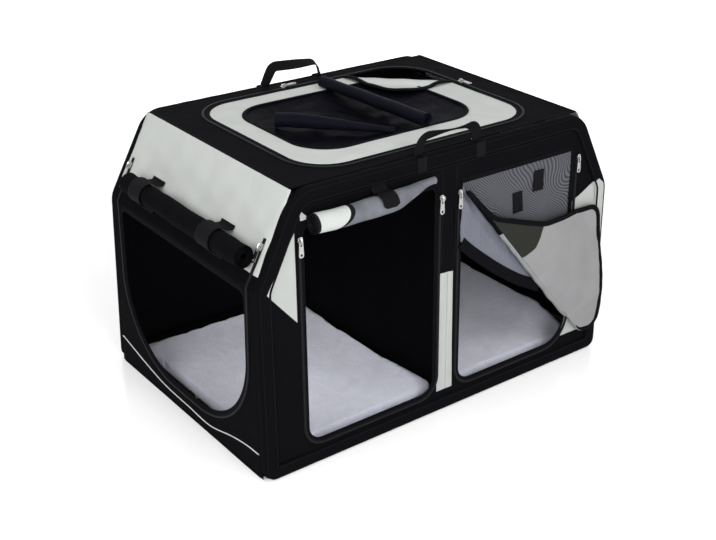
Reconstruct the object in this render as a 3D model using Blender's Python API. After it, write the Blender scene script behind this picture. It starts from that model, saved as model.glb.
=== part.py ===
"""Soft pet crate: two steel hoops under cloth, joined by four folding cross tubes.

Metres, +Z up. X runs along the long front face, Y from the front (-Y) to the back.
The origin is the centre of the footprint, on the surface that the crate stands on.
"""

import math

import bmesh
import bpy
from mathutils import Matrix, Vector

# Outer size
LENGTH = 0.910
DEPTH = 0.600
HEIGHT = 0.575
TOP_LENGTH = 0.734
SLOPE_START = HEIGHT - 0.173
LEAN = 0.024

# Steel frame and its hem sleeves
TUBE_R = 0.008
SLEEVE_WIDE = 0.030
SLEEVE_THICK = 0.024
SLEEVE_CORNER = 0.008
SLEEVE_SLIT = 0.002
FOOT_BEND = 0.034
SHOULDER_BEND = 0.060
CLOTH = 0.003
GAP = 0.0003
LOW_ARM_INSET = 0.019
TOP_ARM_INSET = 0.045
PIN_Y = DEPTH / 2 - 0.064
LOW_PIN_Z = 0.022
TOP_PIN_Z = HEIGHT - 0.023
PIN_OFFSET = 0.010
PIN_R = 0.003
PIN_CLEAR = 0.0003
EYE_R = 0.007
ROOT_R = 0.0045
EYE_THICK = 0.004
FORK_THICK = 0.003
RIVET_HEAD = 0.001
TUBE_SETBACK = 0.016
TUBE_BUTT = 0.012

# Front doorways, in the leaning face: across and up
DOOR_INNER = 0.030
DOOR_OUTER = TOP_LENGTH / 2 - 0.013
DOOR_FOOT = 0.046
DOOR_HEAD = HEIGHT - 0.067
DOOR_CORNER = 0.036
RIGHT_DOOR_BEND = 0.062
TRACK_WIDE = 0.006
TRACK_THICK = 0.0015
TRACK_MARGIN = 0.003
TRACK_STEP = 0.0002

# End doorways
END_DOOR_HALF = DEPTH / 2 - 0.060
END_DOOR_FOOT = 0.054
END_DOOR_BEND = END_DOOR_HALF - 0.050
END_HEADER = 0.012
END_TRACK_RISE = 0.095

# Roof hatch
HATCH_HALF_X = TOP_LENGTH / 2 - 0.081
HATCH_HALF_Y = DEPTH / 2 - 0.086
HATCH_CORNER = 0.085
HATCH_MARGIN = 0.004
WINDOW_LEFT = 0.054 - HATCH_HALF_X
WINDOW_RIGHT = HATCH_HALF_X - 0.086
WINDOW_FRONT = 0.068 - HATCH_HALF_Y
WINDOW_BACK = HATCH_HALF_Y - 0.056
WINDOW_CORNER = 0.062
WINDOW_BACK_RIGHT_CORNER = 0.092
HATCH_CREASE_LEFT = (HATCH_HALF_X - 0.179, HATCH_HALF_Y)
HATCH_CREASE_RIGHT = (HATCH_HALF_X, HATCH_HALF_Y - 0.164)

# Rolled doors and covers
ROLL_R = 0.0205
ROLL_SHEET = 0.0032
ROLL_TURNS = 3
END_ROLL_FRONT = 0.003 - END_DOOR_HALF
END_ROLL_BACK = END_DOOR_HALF - 0.022
FRONT_ROLL_LEFT = 0.011 - DOOR_OUTER
FRONT_ROLL_RIGHT = -0.015 - DOOR_INNER
FRONT_ROLL_WAIST = FRONT_ROLL_RIGHT - 0.095
FRONT_ROLL_UP = DOOR_HEAD + 0.0045
FRONT_ROLL_RISE = 0.012
FRONT_ROLL_TIP = 0.35
COVER_ROLL_R = 0.0115
COVER_ROLL_FRONT = (0.044, WINDOW_FRONT - 0.004)
COVER_ROLL_BACK = (0.026, HATCH_HALF_Y - 0.028)
SIDE_ROLL_R = 0.0125
SIDE_ROLL_TIP = 0.5
SIDE_ROLL_FRONT = (-0.020, WINDOW_FRONT + 0.024)
SIDE_ROLL_BACK = (WINDOW_LEFT + 0.056, WINDOW_BACK - 0.096)
ROLL_HANG = 0.068
STRAP_THICK = 0.002
STRAP_FOOT = 0.012
END_STRAP_WIDE = 0.045
END_STRAP_Y = END_DOOR_HALF - 0.110
HOLD_TAB_WIDE = 0.036
HOLD_TAB_X = FRONT_ROLL_WAIST - 0.038

# Folded corner of the front right door
CREASE_TOP = (DOOR_INNER + 0.011, DOOR_HEAD - 0.024)
CREASE_FOOT = (DOOR_OUTER - 0.002, DOOR_FOOT + 0.060)
FLAP_CORNERS = (
    (DOOR_OUTER + 0.031, DOOR_FOOT + 0.026, 0.006),
    (DOOR_OUTER + 0.095, DOOR_FOOT + 0.014, 0.012),
    (DOOR_OUTER + 0.092, DOOR_FOOT + 0.144, 0.100),
    (DOOR_OUTER + 0.072, DOOR_HEAD - 0.142, 0.034),
    (DOOR_OUTER - 0.104, DOOR_HEAD - 0.142, 0.090),
    (DOOR_INNER + 0.080, DOOR_HEAD - 0.096, 0.090),
)
FLAP_THICK = 0.003
FLAP_LIFT = 0.0075
FLAP_BEND_LEG = 0.004
FLAP_BEND_END = 0.016
DOOR_CLEAR = 0.001
LENS_CORNERS = (
    (DOOR_INNER + 0.040, DOOR_HEAD - 0.148, 0.200),
    (DOOR_OUTER - 0.149, DOOR_FOOT + 0.204, 0.200),
)
LENS_HEAD = DOOR_HEAD - 0.106
LENS_FOOT_X = DOOR_OUTER - 0.092
DOOR_TABS = ((DOOR_OUTER - 0.108, DOOR_HEAD - 0.053), (DOOR_OUTER - 0.166, DOOR_HEAD - 0.088))
DOOR_TAB_WIDE = 0.024
DOOR_TAB_LONG = 0.044

# Floor pads
PAD_THICK = 0.026
PAD_CROWN = 0.005
PAD_CORNER = 0.030
PAD_HALF_Y = DEPTH / 2 - 0.044
# Each ring of a pad: height share of the side, share drawn in, share of the crown
PAD_RINGS = (
    (0.0, 0.030, 0.0),
    (0.3, 0.004, 0.0),
    (0.6, 0.000, 0.0),
    (0.9, 0.012, 0.0),
    (1.0, 0.045, 0.1),
    (1.0, 0.140, 0.6),
    (1.0, 0.350, 1.0),
)
PAD_OUTER = LENGTH / 2 - 0.033
PARTITION_GAP = 0.004

# Carry handles
HANDLE_HALF = 0.086
HANDLE_RISE = 0.056
HANDLE_WEB = 0.022
HANDLE_THICK = 0.002
HANDLE_BEND = 0.034
HANDLE_LEAN = 0.008
HANDLE_AXIS_UP = 0.0013

# Zip sliders and pull tabs
SLIDER_WIDE = 0.010
SLIDER_LONG = 0.016
SLIDER_TALL = 0.004
BAIL_TALL = 0.004
BAIL_R = 0.0011
PULL_WIDE = 0.011
PULL_LONG = 0.033
PULL_THICK = 0.0014
END_SLIDER_UP = 0.078
HATCH_SLIDER_X = -0.050
HATCH_SLIDER_Y = 0.028
PULL_HOLE = 0.0026
PULL_BAR = 0.002
PULL_PIVOT = 0.00135
PULL_EYE_SIDE = 0.0009
PULL_EYE_CLEAR = 0.0015
SLIDER_NOSE = 0.55
SLIDER_BELOW_HEAD = 0.028

ARC_STEPS = 6
HOOP_STEPS = 5

# Finishes: base colour, roughness, metallic
BLACK_CLOTH = ((0.014, 0.014, 0.017), 0.80, 0.0)
BLACK_WEB = ((0.010, 0.010, 0.012), 0.70, 0.0)
PALE_CLOTH = ((0.600, 0.610, 0.590), 0.85, 0.0)
GREY_CLOTH = ((0.380, 0.380, 0.385), 0.85, 0.0)
DARK_MESH = ((0.045, 0.045, 0.052), 0.45, 0.0)
FLEECE = ((0.480, 0.480, 0.560), 0.95, 0.0)
STEEL = ((0.550, 0.550, 0.560), 0.35, 1.0)
PALE_METAL = ((0.780, 0.780, 0.780), 0.25, 1.0)
BLACK_ZIP = ((0.012, 0.012, 0.013), 0.50, 0.0)

LEAN_ANGLE = math.atan2(LEAN, HEIGHT)
FACE_HEIGHT = math.hypot(HEIGHT, LEAN)
FACE_SLOPE_START = SLOPE_START / math.cos(LEAN_ANGLE)
SLOPE_ANGLE = math.atan2((LENGTH - TOP_LENGTH) / 2, HEIGHT - SLOPE_START)
SLOPE_LONG = math.hypot((LENGTH - TOP_LENGTH) / 2, HEIGHT - SLOPE_START)
FORK_X = EYE_THICK / 2 + PIN_CLEAR + FORK_THICK / 2

# Frames of reference. In each, x runs across, y up the cloth and z out of it.
FRONT = Matrix.Translation((0, -DEPTH / 2, 0)) @ Matrix.Rotation(
    math.pi / 2 - LEAN_ANGLE, 4, "X"
)
BACK = Matrix.Rotation(math.pi, 4, "Z") @ FRONT
LEFT_WALL = Matrix(
    ((0, 0, -1, -LENGTH / 2), (-1, 0, 0, 0), (0, 1, 0, 0), (0, 0, 0, 1))
)
LEFT_SLOPE = (
    Matrix.Translation((-LENGTH / 2, 0, SLOPE_START))
    @ Matrix.Rotation(SLOPE_ANGLE, 4, "Y")
    @ Matrix(((0, 0, -1, 0), (-1, 0, 0, 0), (0, 1, 0, 0), (0, 0, 0, 1)))
)
TURN = Matrix.Rotation(math.pi, 4, "Z")
ROOF = Matrix.Translation((0, 0, HEIGHT))
ACROSS = Matrix(((0, 0, 1, 0), (1, 0, 0, 0), (0, 1, 0, 0), (0, 0, 0, 1)))
FACING = Matrix(((1, 0, 0, 0), (0, 0, -1, 0), (0, 1, 0, 0), (0, 0, 0, 1)))


def clear_scene():
    """Remove every object of the startup scene."""
    for obj in list(bpy.data.objects):
        bpy.data.objects.remove(obj, do_unlink=True)


def new_collection(name):
    """A collection linked to the scene."""
    made = bpy.data.collections.new(name)
    bpy.context.scene.collection.children.link(made)
    return made


def finish(obj, look):
    """Give the object a Principled material of its own."""
    colour, roughness, metallic = look
    material = bpy.data.materials.new(obj.name + "_finish")
    material.use_nodes = True
    shader = material.node_tree.nodes["Principled BSDF"]
    shader.inputs["Base Color"].default_value = (*colour, 1)
    shader.inputs["Roughness"].default_value = roughness
    shader.inputs["Metallic"].default_value = metallic
    material.diffuse_color = (*colour, 1)
    obj.data.materials.clear()
    obj.data.materials.append(material)


def rounded(corners, steps=ARC_STEPS):
    """Points of a closed outline whose corners (x, y, radius) are rounded by arcs."""
    points = []
    for i, (x, y, radius) in enumerate(corners):
        here = Vector((x, y))
        before = Vector(corners[i - 1][:2]) - here
        after = Vector(corners[(i + 1) % len(corners)][:2]) - here
        if radius <= 0:
            points.append(tuple(here))
            continue
        half = before.angle(after) / 2
        reach = radius / math.tan(half)
        start = here + before.normalized() * reach
        end = here + after.normalized() * reach
        middle = here + (before.normalized() + after.normalized()).normalized() * (
            radius / math.sin(half)
        )
        first = math.atan2(*(start - middle).yx)
        turn = math.atan2(*(end - middle).yx) - first
        turn = (turn + math.pi) % (2 * math.pi) - math.pi
        for k in range(steps + 1):
            angle = first + turn * k / steps
            points.append(
                (middle.x + radius * math.cos(angle), middle.y + radius * math.sin(angle))
            )
    return points


def circle(x, y, radius, steps=16):
    """Points of a circle."""
    return [
        (
            x + radius * math.cos(2 * math.pi * k / steps),
            y + radius * math.sin(2 * math.pi * k / steps),
        )
        for k in range(steps)
    ]


def inset(corners, amount):
    """The same corners moved inwards (anticlockwise outline), with radii that follow."""
    moved = []
    for i, (x, y, radius) in enumerate(corners):
        here = Vector((x, y))
        into = (here - Vector(corners[i - 1][:2])).normalized()
        out = (Vector(corners[(i + 1) % len(corners)][:2]) - here).normalized()
        bisector = Vector((-into.y - out.y, into.x + out.x)).normalized()
        share = bisector.dot(Vector((-into.y, into.x)))
        shifted = here + bisector * (amount / share)
        moved.append((shifted.x, shifted.y, max(radius - amount, 0.001)))
    return moved


def strip(path, half, closed=False):
    """Outline of a strip of even width along a path, as loops for a flat outline."""
    count = len(path)
    left, right = [], []
    for i, (x, y) in enumerate(path):
        before = path[i - 1] if closed or i else path[i]
        after = path[(i + 1) % count] if closed or i < count - 1 else path[i]
        along = (Vector(after) - Vector(before)).normalized()
        left.append((x - along.y * half, y + along.x * half))
        right.append((x + along.y * half, y - along.x * half))
    if closed:
        return [left, right]
    return [left + right[::-1]]


def link(obj, where, look, group):
    """Put a finished object in its collection at a place."""
    group.objects.link(obj)
    obj.matrix_world = where
    finish(obj, look)
    return obj


def plate(name, loops, thickness, where, look, group, lift=0.0):
    """A flat piece from closed outlines, the first outer and the rest holes."""
    curve = bpy.data.curves.new(name, "CURVE")
    curve.dimensions = "2D"
    curve.fill_mode = "BOTH"
    curve.extrude = thickness / 2
    for points in loops:
        spline = curve.splines.new("POLY")
        spline.points.add(len(points) - 1)
        for point, (x, y) in zip(spline.points, points):
            point.co = (x, y, 0, 1)
        spline.use_cyclic_u = True
    shape = bpy.data.objects.new(name, curve)
    place = where @ Matrix.Translation((0, 0, lift + thickness / 2))
    return link(to_mesh(shape), place, look, group)


def to_mesh(shape):
    """Turn a curve object into a mesh object of the same name, with welded caps."""
    name, curve = shape.name, shape.data
    bpy.context.scene.collection.objects.link(shape)
    bpy.context.view_layer.update()
    seen = shape.evaluated_get(bpy.context.evaluated_depsgraph_get())
    mesh = bpy.data.meshes.new_from_object(seen)
    bpy.data.objects.remove(shape, do_unlink=True)
    bpy.data.curves.remove(curve)
    work = bmesh.new()
    work.from_mesh(mesh)
    bmesh.ops.remove_doubles(work, verts=work.verts, dist=0.00001)
    bmesh.ops.recalc_face_normals(work, faces=work.faces)
    work.to_mesh(mesh)
    work.free()
    mesh.name = name
    return bpy.data.objects.new(name, mesh)


def tube(name, points, radius, closed=False, resolution=3):
    """A round tube along points, as an unlinked mesh object."""
    curve = bpy.data.curves.new(name, "CURVE")
    curve.dimensions = "3D"
    curve.bevel_depth = radius
    curve.bevel_resolution = resolution
    curve.use_fill_caps = not closed
    spline = curve.splines.new("POLY")
    spline.points.add(len(points) - 1)
    for point, place in zip(spline.points, points):
        point.co = (*place, 1)
    spline.use_cyclic_u = closed
    made = to_mesh(bpy.data.objects.new(name, curve))
    made.data.shade_smooth()
    made.data.set_sharp_from_angle(angle=math.radians(50))
    return made


def join(target, others, cutters):
    """Unite the target with helper solids by exact Booleans."""
    for other in others:
        modifier = target.modifiers.new("join_" + other.name, "BOOLEAN")
        modifier.operation = "UNION"
        modifier.object = other
        hide(other, cutters)


def cut(target, others, cutters):
    """Cut helper solids out of the target by exact Booleans."""
    for other in others:
        modifier = target.modifiers.new("cut_" + other.name, "BOOLEAN")
        modifier.operation = "DIFFERENCE"
        modifier.object = other
        hide(other, cutters)


def hide(obj, cutters):
    """Keep a helper solid out of the finished object."""
    if obj.name not in cutters.objects:
        cutters.objects.link(obj)
    for group in list(obj.users_collection):
        if group != cutters:
            group.objects.unlink(obj)
    obj.hide_render = True
    obj.display_type = "WIRE"


def box(name, low, high, cutters):
    """A box between two corners, as a helper solid."""
    work = bmesh.new()
    bmesh.ops.create_cube(work, size=1)
    low, high = Vector(low), Vector(high)
    bmesh.ops.scale(work, verts=work.verts, vec=high - low)
    bmesh.ops.translate(work, verts=work.verts, vec=(low + high) / 2)
    mesh = bpy.data.meshes.new(name)
    work.to_mesh(mesh)
    work.free()
    made = bpy.data.objects.new(name, mesh)
    hide(made, cutters)
    return made


def hoop_corners():
    """The outer outline of a long face, anticlockwise from the lower left."""
    foot, top = LENGTH / 2, TOP_LENGTH / 2
    return [
        (-foot, 0, FOOT_BEND),
        (foot, 0, FOOT_BEND),
        (foot, FACE_SLOPE_START, SHOULDER_BEND),
        (top, FACE_HEIGHT, SHOULDER_BEND),
        (-top, FACE_HEIGHT, SHOULDER_BEND),
        (-foot, FACE_SLOPE_START, SHOULDER_BEND),
    ]


def hoop_path():
    """The centreline of a hoop in its face."""
    return rounded(inset(hoop_corners(), SLEEVE_WIDE / 2), HOOP_STEPS)


def lug_outline(pin, tube_centre, root_r):
    """Outline (y, z) of a link plate that reaches from a pin to a tube."""
    reach = Vector(tube_centre) - Vector(pin)
    side = math.atan2(reach.y, reach.x)
    points = []
    pin_end = (pin, EYE_R, side + math.pi / 2)
    root_end = (tube_centre, root_r, side - math.pi / 2)
    for (y, z), radius, first in (pin_end, root_end):
        for k in range(9):
            angle = first + math.pi * k / 8
            points.append((y + radius * math.cos(angle), z + radius * math.sin(angle)))
    return points


def eye(name, pin, tube_centre, x, cutters):
    """An eye plate on a tube's end, bored for the rivet of the next fork."""
    loops = [lug_outline(pin, tube_centre, EYE_R), circle(*pin, PIN_R + PIN_CLEAR)]
    made = plate(name, loops, EYE_THICK, ACROSS, STEEL, cutters, -EYE_THICK / 2)
    made.matrix_world = Matrix.Translation((x, 0, 0)) @ made.matrix_world
    made.data.transform(made.matrix_world)
    made.matrix_world = Matrix.Identity(4)
    return made


def fork(name, pin, tube_centre, x, root_r, cutters):
    """Two link plates with their rivet, as one closed solid."""
    outline, shank = lug_outline(pin, tube_centre, root_r), circle(*pin, PIN_R)
    near, far = FORK_X - FORK_THICK / 2, FORK_X + FORK_THICK / 2
    end = far + RIVET_HEAD
    work = bmesh.new()

    def ring(points, offset):
        return [work.verts.new((x + offset, y, z)) for y, z in points]

    def wall(low, high):
        for k in range(len(low)):
            j = (k + 1) % len(low)
            work.faces.new((low[k], low[j], high[j], high[k]))

    def web(*loops):
        edges = []
        for loop in loops:
            for k in range(len(loop)):
                pair = (loop[k], loop[(k + 1) % len(loop)])
                edges.append(work.edges.get(pair) or work.edges.new(pair))
        bmesh.ops.triangle_fill(work, edges=edges, use_beauty=True)

    shanks = [ring(shank, offset) for offset in (-end, -far, -near, near, far, end)]
    plates = [ring(outline, offset) for offset in (-far, -near, near, far)]
    for k in (0, 2, 4):
        wall(shanks[k], shanks[k + 1])
    for k in (0, 2):
        wall(plates[k], plates[k + 1])
    for loop, hole in zip(plates, shanks[1:5]):
        web(loop, hole)
    web(shanks[0])
    web(shanks[5])
    bmesh.ops.recalc_face_normals(work, faces=work.faces)
    mesh = bpy.data.meshes.new(name)
    work.to_mesh(mesh)
    work.free()
    made = bpy.data.objects.new(name, mesh)
    hide(made, cutters)
    return made


def pivot_places():
    """Every cross tube: name, X, height of its pins, and which way its knee folds."""
    low_x, top_x = LENGTH / 2 - LOW_ARM_INSET, TOP_LENGTH / 2 - TOP_ARM_INSET
    return [
        ("lower_left", -low_x, LOW_PIN_Z, 1),
        ("lower_right", low_x, LOW_PIN_Z, 1),
        ("upper_left", -top_x, TOP_PIN_Z, -1),
        ("upper_right", top_x, TOP_PIN_Z, -1),
    ]


def face_depth(height):
    """Y of the hoop tube's axis in the front face at a height."""
    inward = SLEEVE_THICK / 2 / math.cos(LEAN_ANGLE)
    return -DEPTH / 2 + inward + height * math.tan(LEAN_ANGLE)


def build_hoop(name, where, group, cutters):
    """A closed hoop of steel tube with four welded pivot forks."""
    lift = -SLEEVE_THICK / 2
    route = [(x, y, lift) for x, y in hoop_path()]
    hoop = tube(name, route, TUBE_R, closed=True, resolution=2)
    link(hoop, where, STEEL, group)
    side = 1 if where == FRONT else -1
    rail = SLEEVE_WIDE / 2
    for arm, x, pin_z, _ in pivot_places():
        axis_z = pin_z if pin_z < SLOPE_START else HEIGHT - rail
        pin = (-PIN_Y * side, pin_z)
        root = (face_depth(axis_z) * side, axis_z)
        join(hoop, [fork(f"{name}_{arm}_fork", pin, root, x, ROOT_R, cutters)], cutters)
    return hoop


def sleeve_profile():
    """The section of a hem: a rounded block round the tube, slit on its inner side."""
    wide, thick = SLEEVE_WIDE / 2, SLEEVE_THICK / 2
    outer = rounded(
        [
            (-wide, -thick, SLEEVE_CORNER),
            (wide, -thick, SLEEVE_CORNER),
            (wide, thick, SLEEVE_CORNER),
            (-wide, thick, SLEEVE_CORNER),
        ],
        steps=2,
    )
    slit = SLEEVE_SLIT / 2
    bore = TUBE_R + GAP
    start = math.asin(slit / bore)
    inner = [
        (bore * math.cos(a), bore * math.sin(a))
        for a in (start + (2 * math.pi - 2 * start) * k / 8 for k in range(9))
    ]
    return [(wide, slit)] + outer_from_slit(outer, slit) + [(wide, -slit)] + inner[::-1]


def outer_from_slit(outer, slit):
    """The outer points in order, from just above the slit round to just below it."""
    ordered = sorted(outer, key=lambda p: math.atan2(p[1], p[0]) % (2 * math.pi))
    return [p for p in ordered if not (p[0] > 0 and abs(p[1]) < slit)]


def build_sleeve(name, where, group, cutters):
    """The cloth hem that wraps a hoop, notched where the pivot forks come out."""
    profile_curve = bpy.data.curves.new(name + "_section", "CURVE")
    profile_curve.dimensions = "2D"
    section = profile_curve.splines.new("POLY")
    points = sleeve_profile()
    section.points.add(len(points) - 1)
    for point, (x, y) in zip(section.points, points):
        point.co = (x, y, 0, 1)
    section.use_cyclic_u = True
    section_object = bpy.data.objects.new(name + "_section", profile_curve)
    hide(section_object, cutters)
    curve = bpy.data.curves.new(name, "CURVE")
    curve.dimensions = "2D"
    curve.fill_mode = "NONE"
    curve.bevel_mode = "OBJECT"
    curve.bevel_object = section_object
    spline = curve.splines.new("POLY")
    path = hoop_path()
    spline.points.add(len(path) - 1)
    for point, (x, y) in zip(spline.points, path):
        point.co = (x, y, 0, 1)
    spline.use_cyclic_u = True
    sleeve = to_mesh(bpy.data.objects.new(name, curve))
    sleeve.data.shade_smooth()
    place = where @ Matrix.Translation((0, 0, -SLEEVE_THICK / 2))
    link(sleeve, place, BLACK_CLOTH, group)
    side = 1 if where == FRONT else -1
    notches = []
    wide = FORK_X + FORK_THICK / 2 + GAP
    for arm, x, pin_z, _ in pivot_places():
        axis_z = pin_z if pin_z < SLOPE_START else HEIGHT - SLEEVE_WIDE / 2
        axis_y = face_depth(axis_z) * side
        tall = EYE_R + GAP + abs(pin_z - axis_z)
        far = axis_y + side * SLEEVE_THICK
        low = (x - wide, min(axis_y, far), axis_z - tall)
        high = (x + wide, max(axis_y, far), axis_z + tall)
        notches.append(box(f"{name}_{arm}_notch", low, high, cutters))
    cut(sleeve, notches, cutters)
    return sleeve


def build_arm(name, x, pin_z, fold, rear, group, cutters):
    """One half of a cross tube, from its hoop pin to the knee."""
    side = 1 if rear else -1
    axis_z = pin_z + PIN_OFFSET * fold
    hoop_end = side * (PIN_Y - TUBE_SETBACK)
    knee_end = side * TUBE_BUTT
    arm = tube(name, [(x, hoop_end, axis_z), (x, knee_end, axis_z)], TUBE_R)
    link(arm, Matrix.Identity(4), STEEL, group)
    hoop_pin = (side * PIN_Y, pin_z)
    hoop_root = (hoop_end - side * PIN_OFFSET, axis_z)
    knee_pin = (0, pin_z)
    knee_root = (knee_end + side * PIN_OFFSET, axis_z)
    helpers = [eye(name + "_hoop_eye", hoop_pin, hoop_root, x, cutters)]
    if rear:
        helpers.append(fork(name + "_fork", knee_pin, knee_root, x, EYE_R, cutters))
    else:
        helpers.append(eye(name + "_knee_eye", knee_pin, knee_root, x, cutters))
    join(arm, helpers, cutters)
    return arm


def doorway(side):
    """Corners of a front doorway, anticlockwise, for the left (-1) or right (1) side."""
    near, far = side * DOOR_INNER, side * DOOR_OUTER
    left, right = min(near, far), max(near, far)
    return [
        (left, DOOR_FOOT, DOOR_CORNER),
        (right, DOOR_FOOT, RIGHT_DOOR_BEND if side > 0 else DOOR_CORNER),
        (right, DOOR_HEAD, DOOR_CORNER / 2),
        (left, DOOR_HEAD, DOOR_CORNER / 2),
    ]


def panel_lift():
    """Depth of the cloth of a long face behind its outer plane."""
    return -SLEEVE_CORNER


def build_long_faces(group):
    """The front cloth with two doorways, and the plain back cloth."""
    edge = rounded(inset(hoop_corners(), SLEEVE_WIDE + GAP * 2), HOOP_STEPS)
    holes = [rounded(doorway(side)) for side in (-1, 1)]
    plate("front_panel", [edge, *holes], CLOTH, FRONT, BLACK_CLOTH, group, panel_lift())
    plate("back_panel", [edge], CLOTH, BACK, BLACK_CLOTH, group, panel_lift())


def track_path(corners):
    """A zip's route beside a doorway: down one side, along the foot and up the other."""
    grown = inset(corners, -(TRACK_MARGIN + TRACK_WIDE / 2))
    points = rounded(grown)
    head = 3 * (ARC_STEPS + 1)
    return points[head + ARC_STEPS :] + points[: 2 * (ARC_STEPS + 1) + 1]


def build_front_zips(group):
    """A zip track round each front doorway."""
    lift = panel_lift() + CLOTH + GAP
    for side, word in ((-1, "left"), (1, "right")):
        loops = strip(track_path(doorway(side)), TRACK_WIDE / 2)
        plate(f"front_{word}_zip", loops, TRACK_THICK, FRONT, BLACK_ZIP, group, lift)


def build_floor_and_roof(group):
    """The floor cloth, the roof cloth with its hatch opening, and the partition."""
    half_x = LENGTH / 2 - GAP
    half_y = DEPTH / 2 - SLEEVE_THICK - GAP * 2
    floor = [(-half_x, -half_y), (half_x, -half_y), (half_x, half_y), (-half_x, half_y)]
    plate("floor_panel", [floor], CLOTH, Matrix.Identity(4), BLACK_CLOTH, group)
    roof_x = TOP_LENGTH / 2 - GAP
    roof_y = DEPTH / 2 - LEAN - SLEEVE_THICK - GAP
    roof = [(-roof_x, -roof_y), (roof_x, -roof_y), (roof_x, roof_y), (-roof_x, roof_y)]
    hole = rounded(hatch_corners(HATCH_MARGIN))
    plate("roof_panel", [roof, hole], CLOTH, ROOF, BLACK_CLOTH, group, -CLOTH)
    low = CLOTH + GAP
    high = HEIGHT - CLOTH - GAP
    lean_low = face_depth(low) + SLEEVE_THICK / 2 + GAP * 2
    lean_high = face_depth(high) + SLEEVE_THICK / 2 + GAP * 2
    wall = [(lean_low, low), (-lean_low, low), (-lean_high, high), (lean_high, high)]
    plate("partition", [wall], CLOTH, ACROSS, BLACK_CLOTH, group, -CLOTH / 2)


def hatch_corners(grow=0.0):
    """Corners of the hatch, grown by a margin."""
    x, y, r = HATCH_HALF_X + grow, HATCH_HALF_Y + grow, HATCH_CORNER + grow
    return [(-x, -y, r), (x, -y, r), (x, y, r), (-x, y, r)]


def window_corners(grow=0.0):
    """Corners of the window in the hatch."""
    r = WINDOW_CORNER + grow
    return [
        (WINDOW_LEFT - grow, WINDOW_FRONT - grow, r),
        (WINDOW_RIGHT + grow, WINDOW_FRONT - grow, r),
        (WINDOW_RIGHT + grow, WINDOW_BACK + grow, WINDOW_BACK_RIGHT_CORNER + grow),
        (WINDOW_LEFT - grow, WINDOW_BACK + grow, r),
    ]


def mirrored(point, first, second):
    """A point mirrored over the line through two others."""
    along = (Vector(second) - Vector(first)).normalized()
    offset = Vector(point) - Vector(first)
    return tuple(Vector(first) + 2 * along * offset.dot(along) - offset)


def build_hatch(group):
    """The hatch: its ring with a folded corner, its window sheet and the zip track."""
    corners = hatch_corners()
    left, right = HATCH_CREASE_LEFT, HATCH_CREASE_RIGHT
    kept = [corners[0], corners[1], (*right, 0), (*left, 0), corners[3]]
    ring = [rounded(kept), rounded(window_corners())]
    plate("hatch_ring", ring, CLOTH, ROOF, PALE_CLOTH, group, -CLOTH)
    sheet = [rounded(window_corners(-GAP))]
    plate("hatch_window", sheet, CLOTH / 2, ROOF, DARK_MESH, group, -CLOTH)
    x, y, radius = corners[2]
    ear = [mirrored(p, left, right) for p in rounded([(*right, 0), (x, y, radius), (*left, 0)])]
    plate("hatch_corner", [ear], CLOTH / 2, ROOF, PALE_CLOTH, group, GAP)
    route = rounded(hatch_corners(HATCH_MARGIN + TRACK_MARGIN + TRACK_WIDE / 2))
    loops = strip(route, TRACK_WIDE / 2, closed=True)
    plate("hatch_zip", loops, TRACK_THICK, ROOF, BLACK_ZIP, group, GAP)


def end_wall_loops():
    """An end wall: its outline, and its doorway with wide round lower corners."""
    half = DEPTH / 2 - SLEEVE_THICK - GAP * 2
    upper = half - LEAN * SLOPE_START / HEIGHT
    low = CLOTH + GAP
    wall = [(-half, low), (half, low), (upper, SLOPE_START), (-upper, SLOPE_START)]
    return [wall, rounded(end_doorway())]


def end_doorway(shrink=0.0):
    """Corners of an end doorway, shrunk by a margin."""
    half = END_DOOR_HALF - shrink
    foot, head = END_DOOR_FOOT + shrink, SLOPE_START - END_HEADER - shrink
    bend = END_DOOR_BEND - shrink
    return [(-half, foot, bend), (half, foot, bend), (half, head, 0.02), (-half, head, 0.02)]


def build_end_zip(name, wall, slope, group, cutters):
    """The zip track of an end doorway, with its ends bent up on the slope."""
    bend = rounded(end_doorway(-(TRACK_MARGIN + TRACK_WIDE / 2)))
    foot = bend[: 2 * (ARC_STEPS + 1)]
    edge = foot[-1][0]
    route = [(-edge, SLOPE_START), *foot, (edge, SLOPE_START)]
    loops = strip(route, TRACK_WIDE / 2)
    track = plate(name, loops, TRACK_THICK, wall, BLACK_ZIP, group, GAP)
    ends = []
    for side in (-1, 1):
        half = TRACK_WIDE / 2 - TRACK_STEP
        near, far = side * edge - half, side * edge + half
        low, high = -TRACK_THICK, END_TRACK_RISE
        loop = [(near, low), (far, low), (far, high), (near, high)]
        ends.append(plate(f"{name}_{side}", [loop], TRACK_THICK, slope, BLACK_ZIP, cutters, GAP))
    join(track, ends, cutters)


def build_ends(group, cutters):
    """Both end walls, their zip tracks, the grey slopes and the shut right door."""
    for word, wall, slope in (
        ("left", LEFT_WALL, LEFT_SLOPE),
        ("right", TURN @ LEFT_WALL, TURN @ LEFT_SLOPE),
    ):
        plate(f"{word}_wall", end_wall_loops(), CLOTH, wall, BLACK_CLOTH, group, -CLOTH)
        build_end_zip(f"{word}_end_zip", wall, slope, group, cutters)
        low = DEPTH / 2 - SLEEVE_THICK - GAP * 2 - LEAN * SLOPE_START / HEIGHT
        high = DEPTH / 2 - SLEEVE_THICK - GAP * 2 - LEAN
        foot = CLOTH * math.tan(SLOPE_ANGLE) + GAP * 2
        head = SLOPE_LONG - CLOTH
        sheet = [(-low, foot), (low, foot), (high, head), (-high, head)]
        plate(f"{word}_slope", [sheet], CLOTH, slope, PALE_CLOTH, group, -CLOTH)
    shut = rounded(end_doorway(0.001))
    plate("right_end_door", [shut], CLOTH, TURN @ LEFT_WALL, DARK_MESH, group, -CLOTH)


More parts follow.
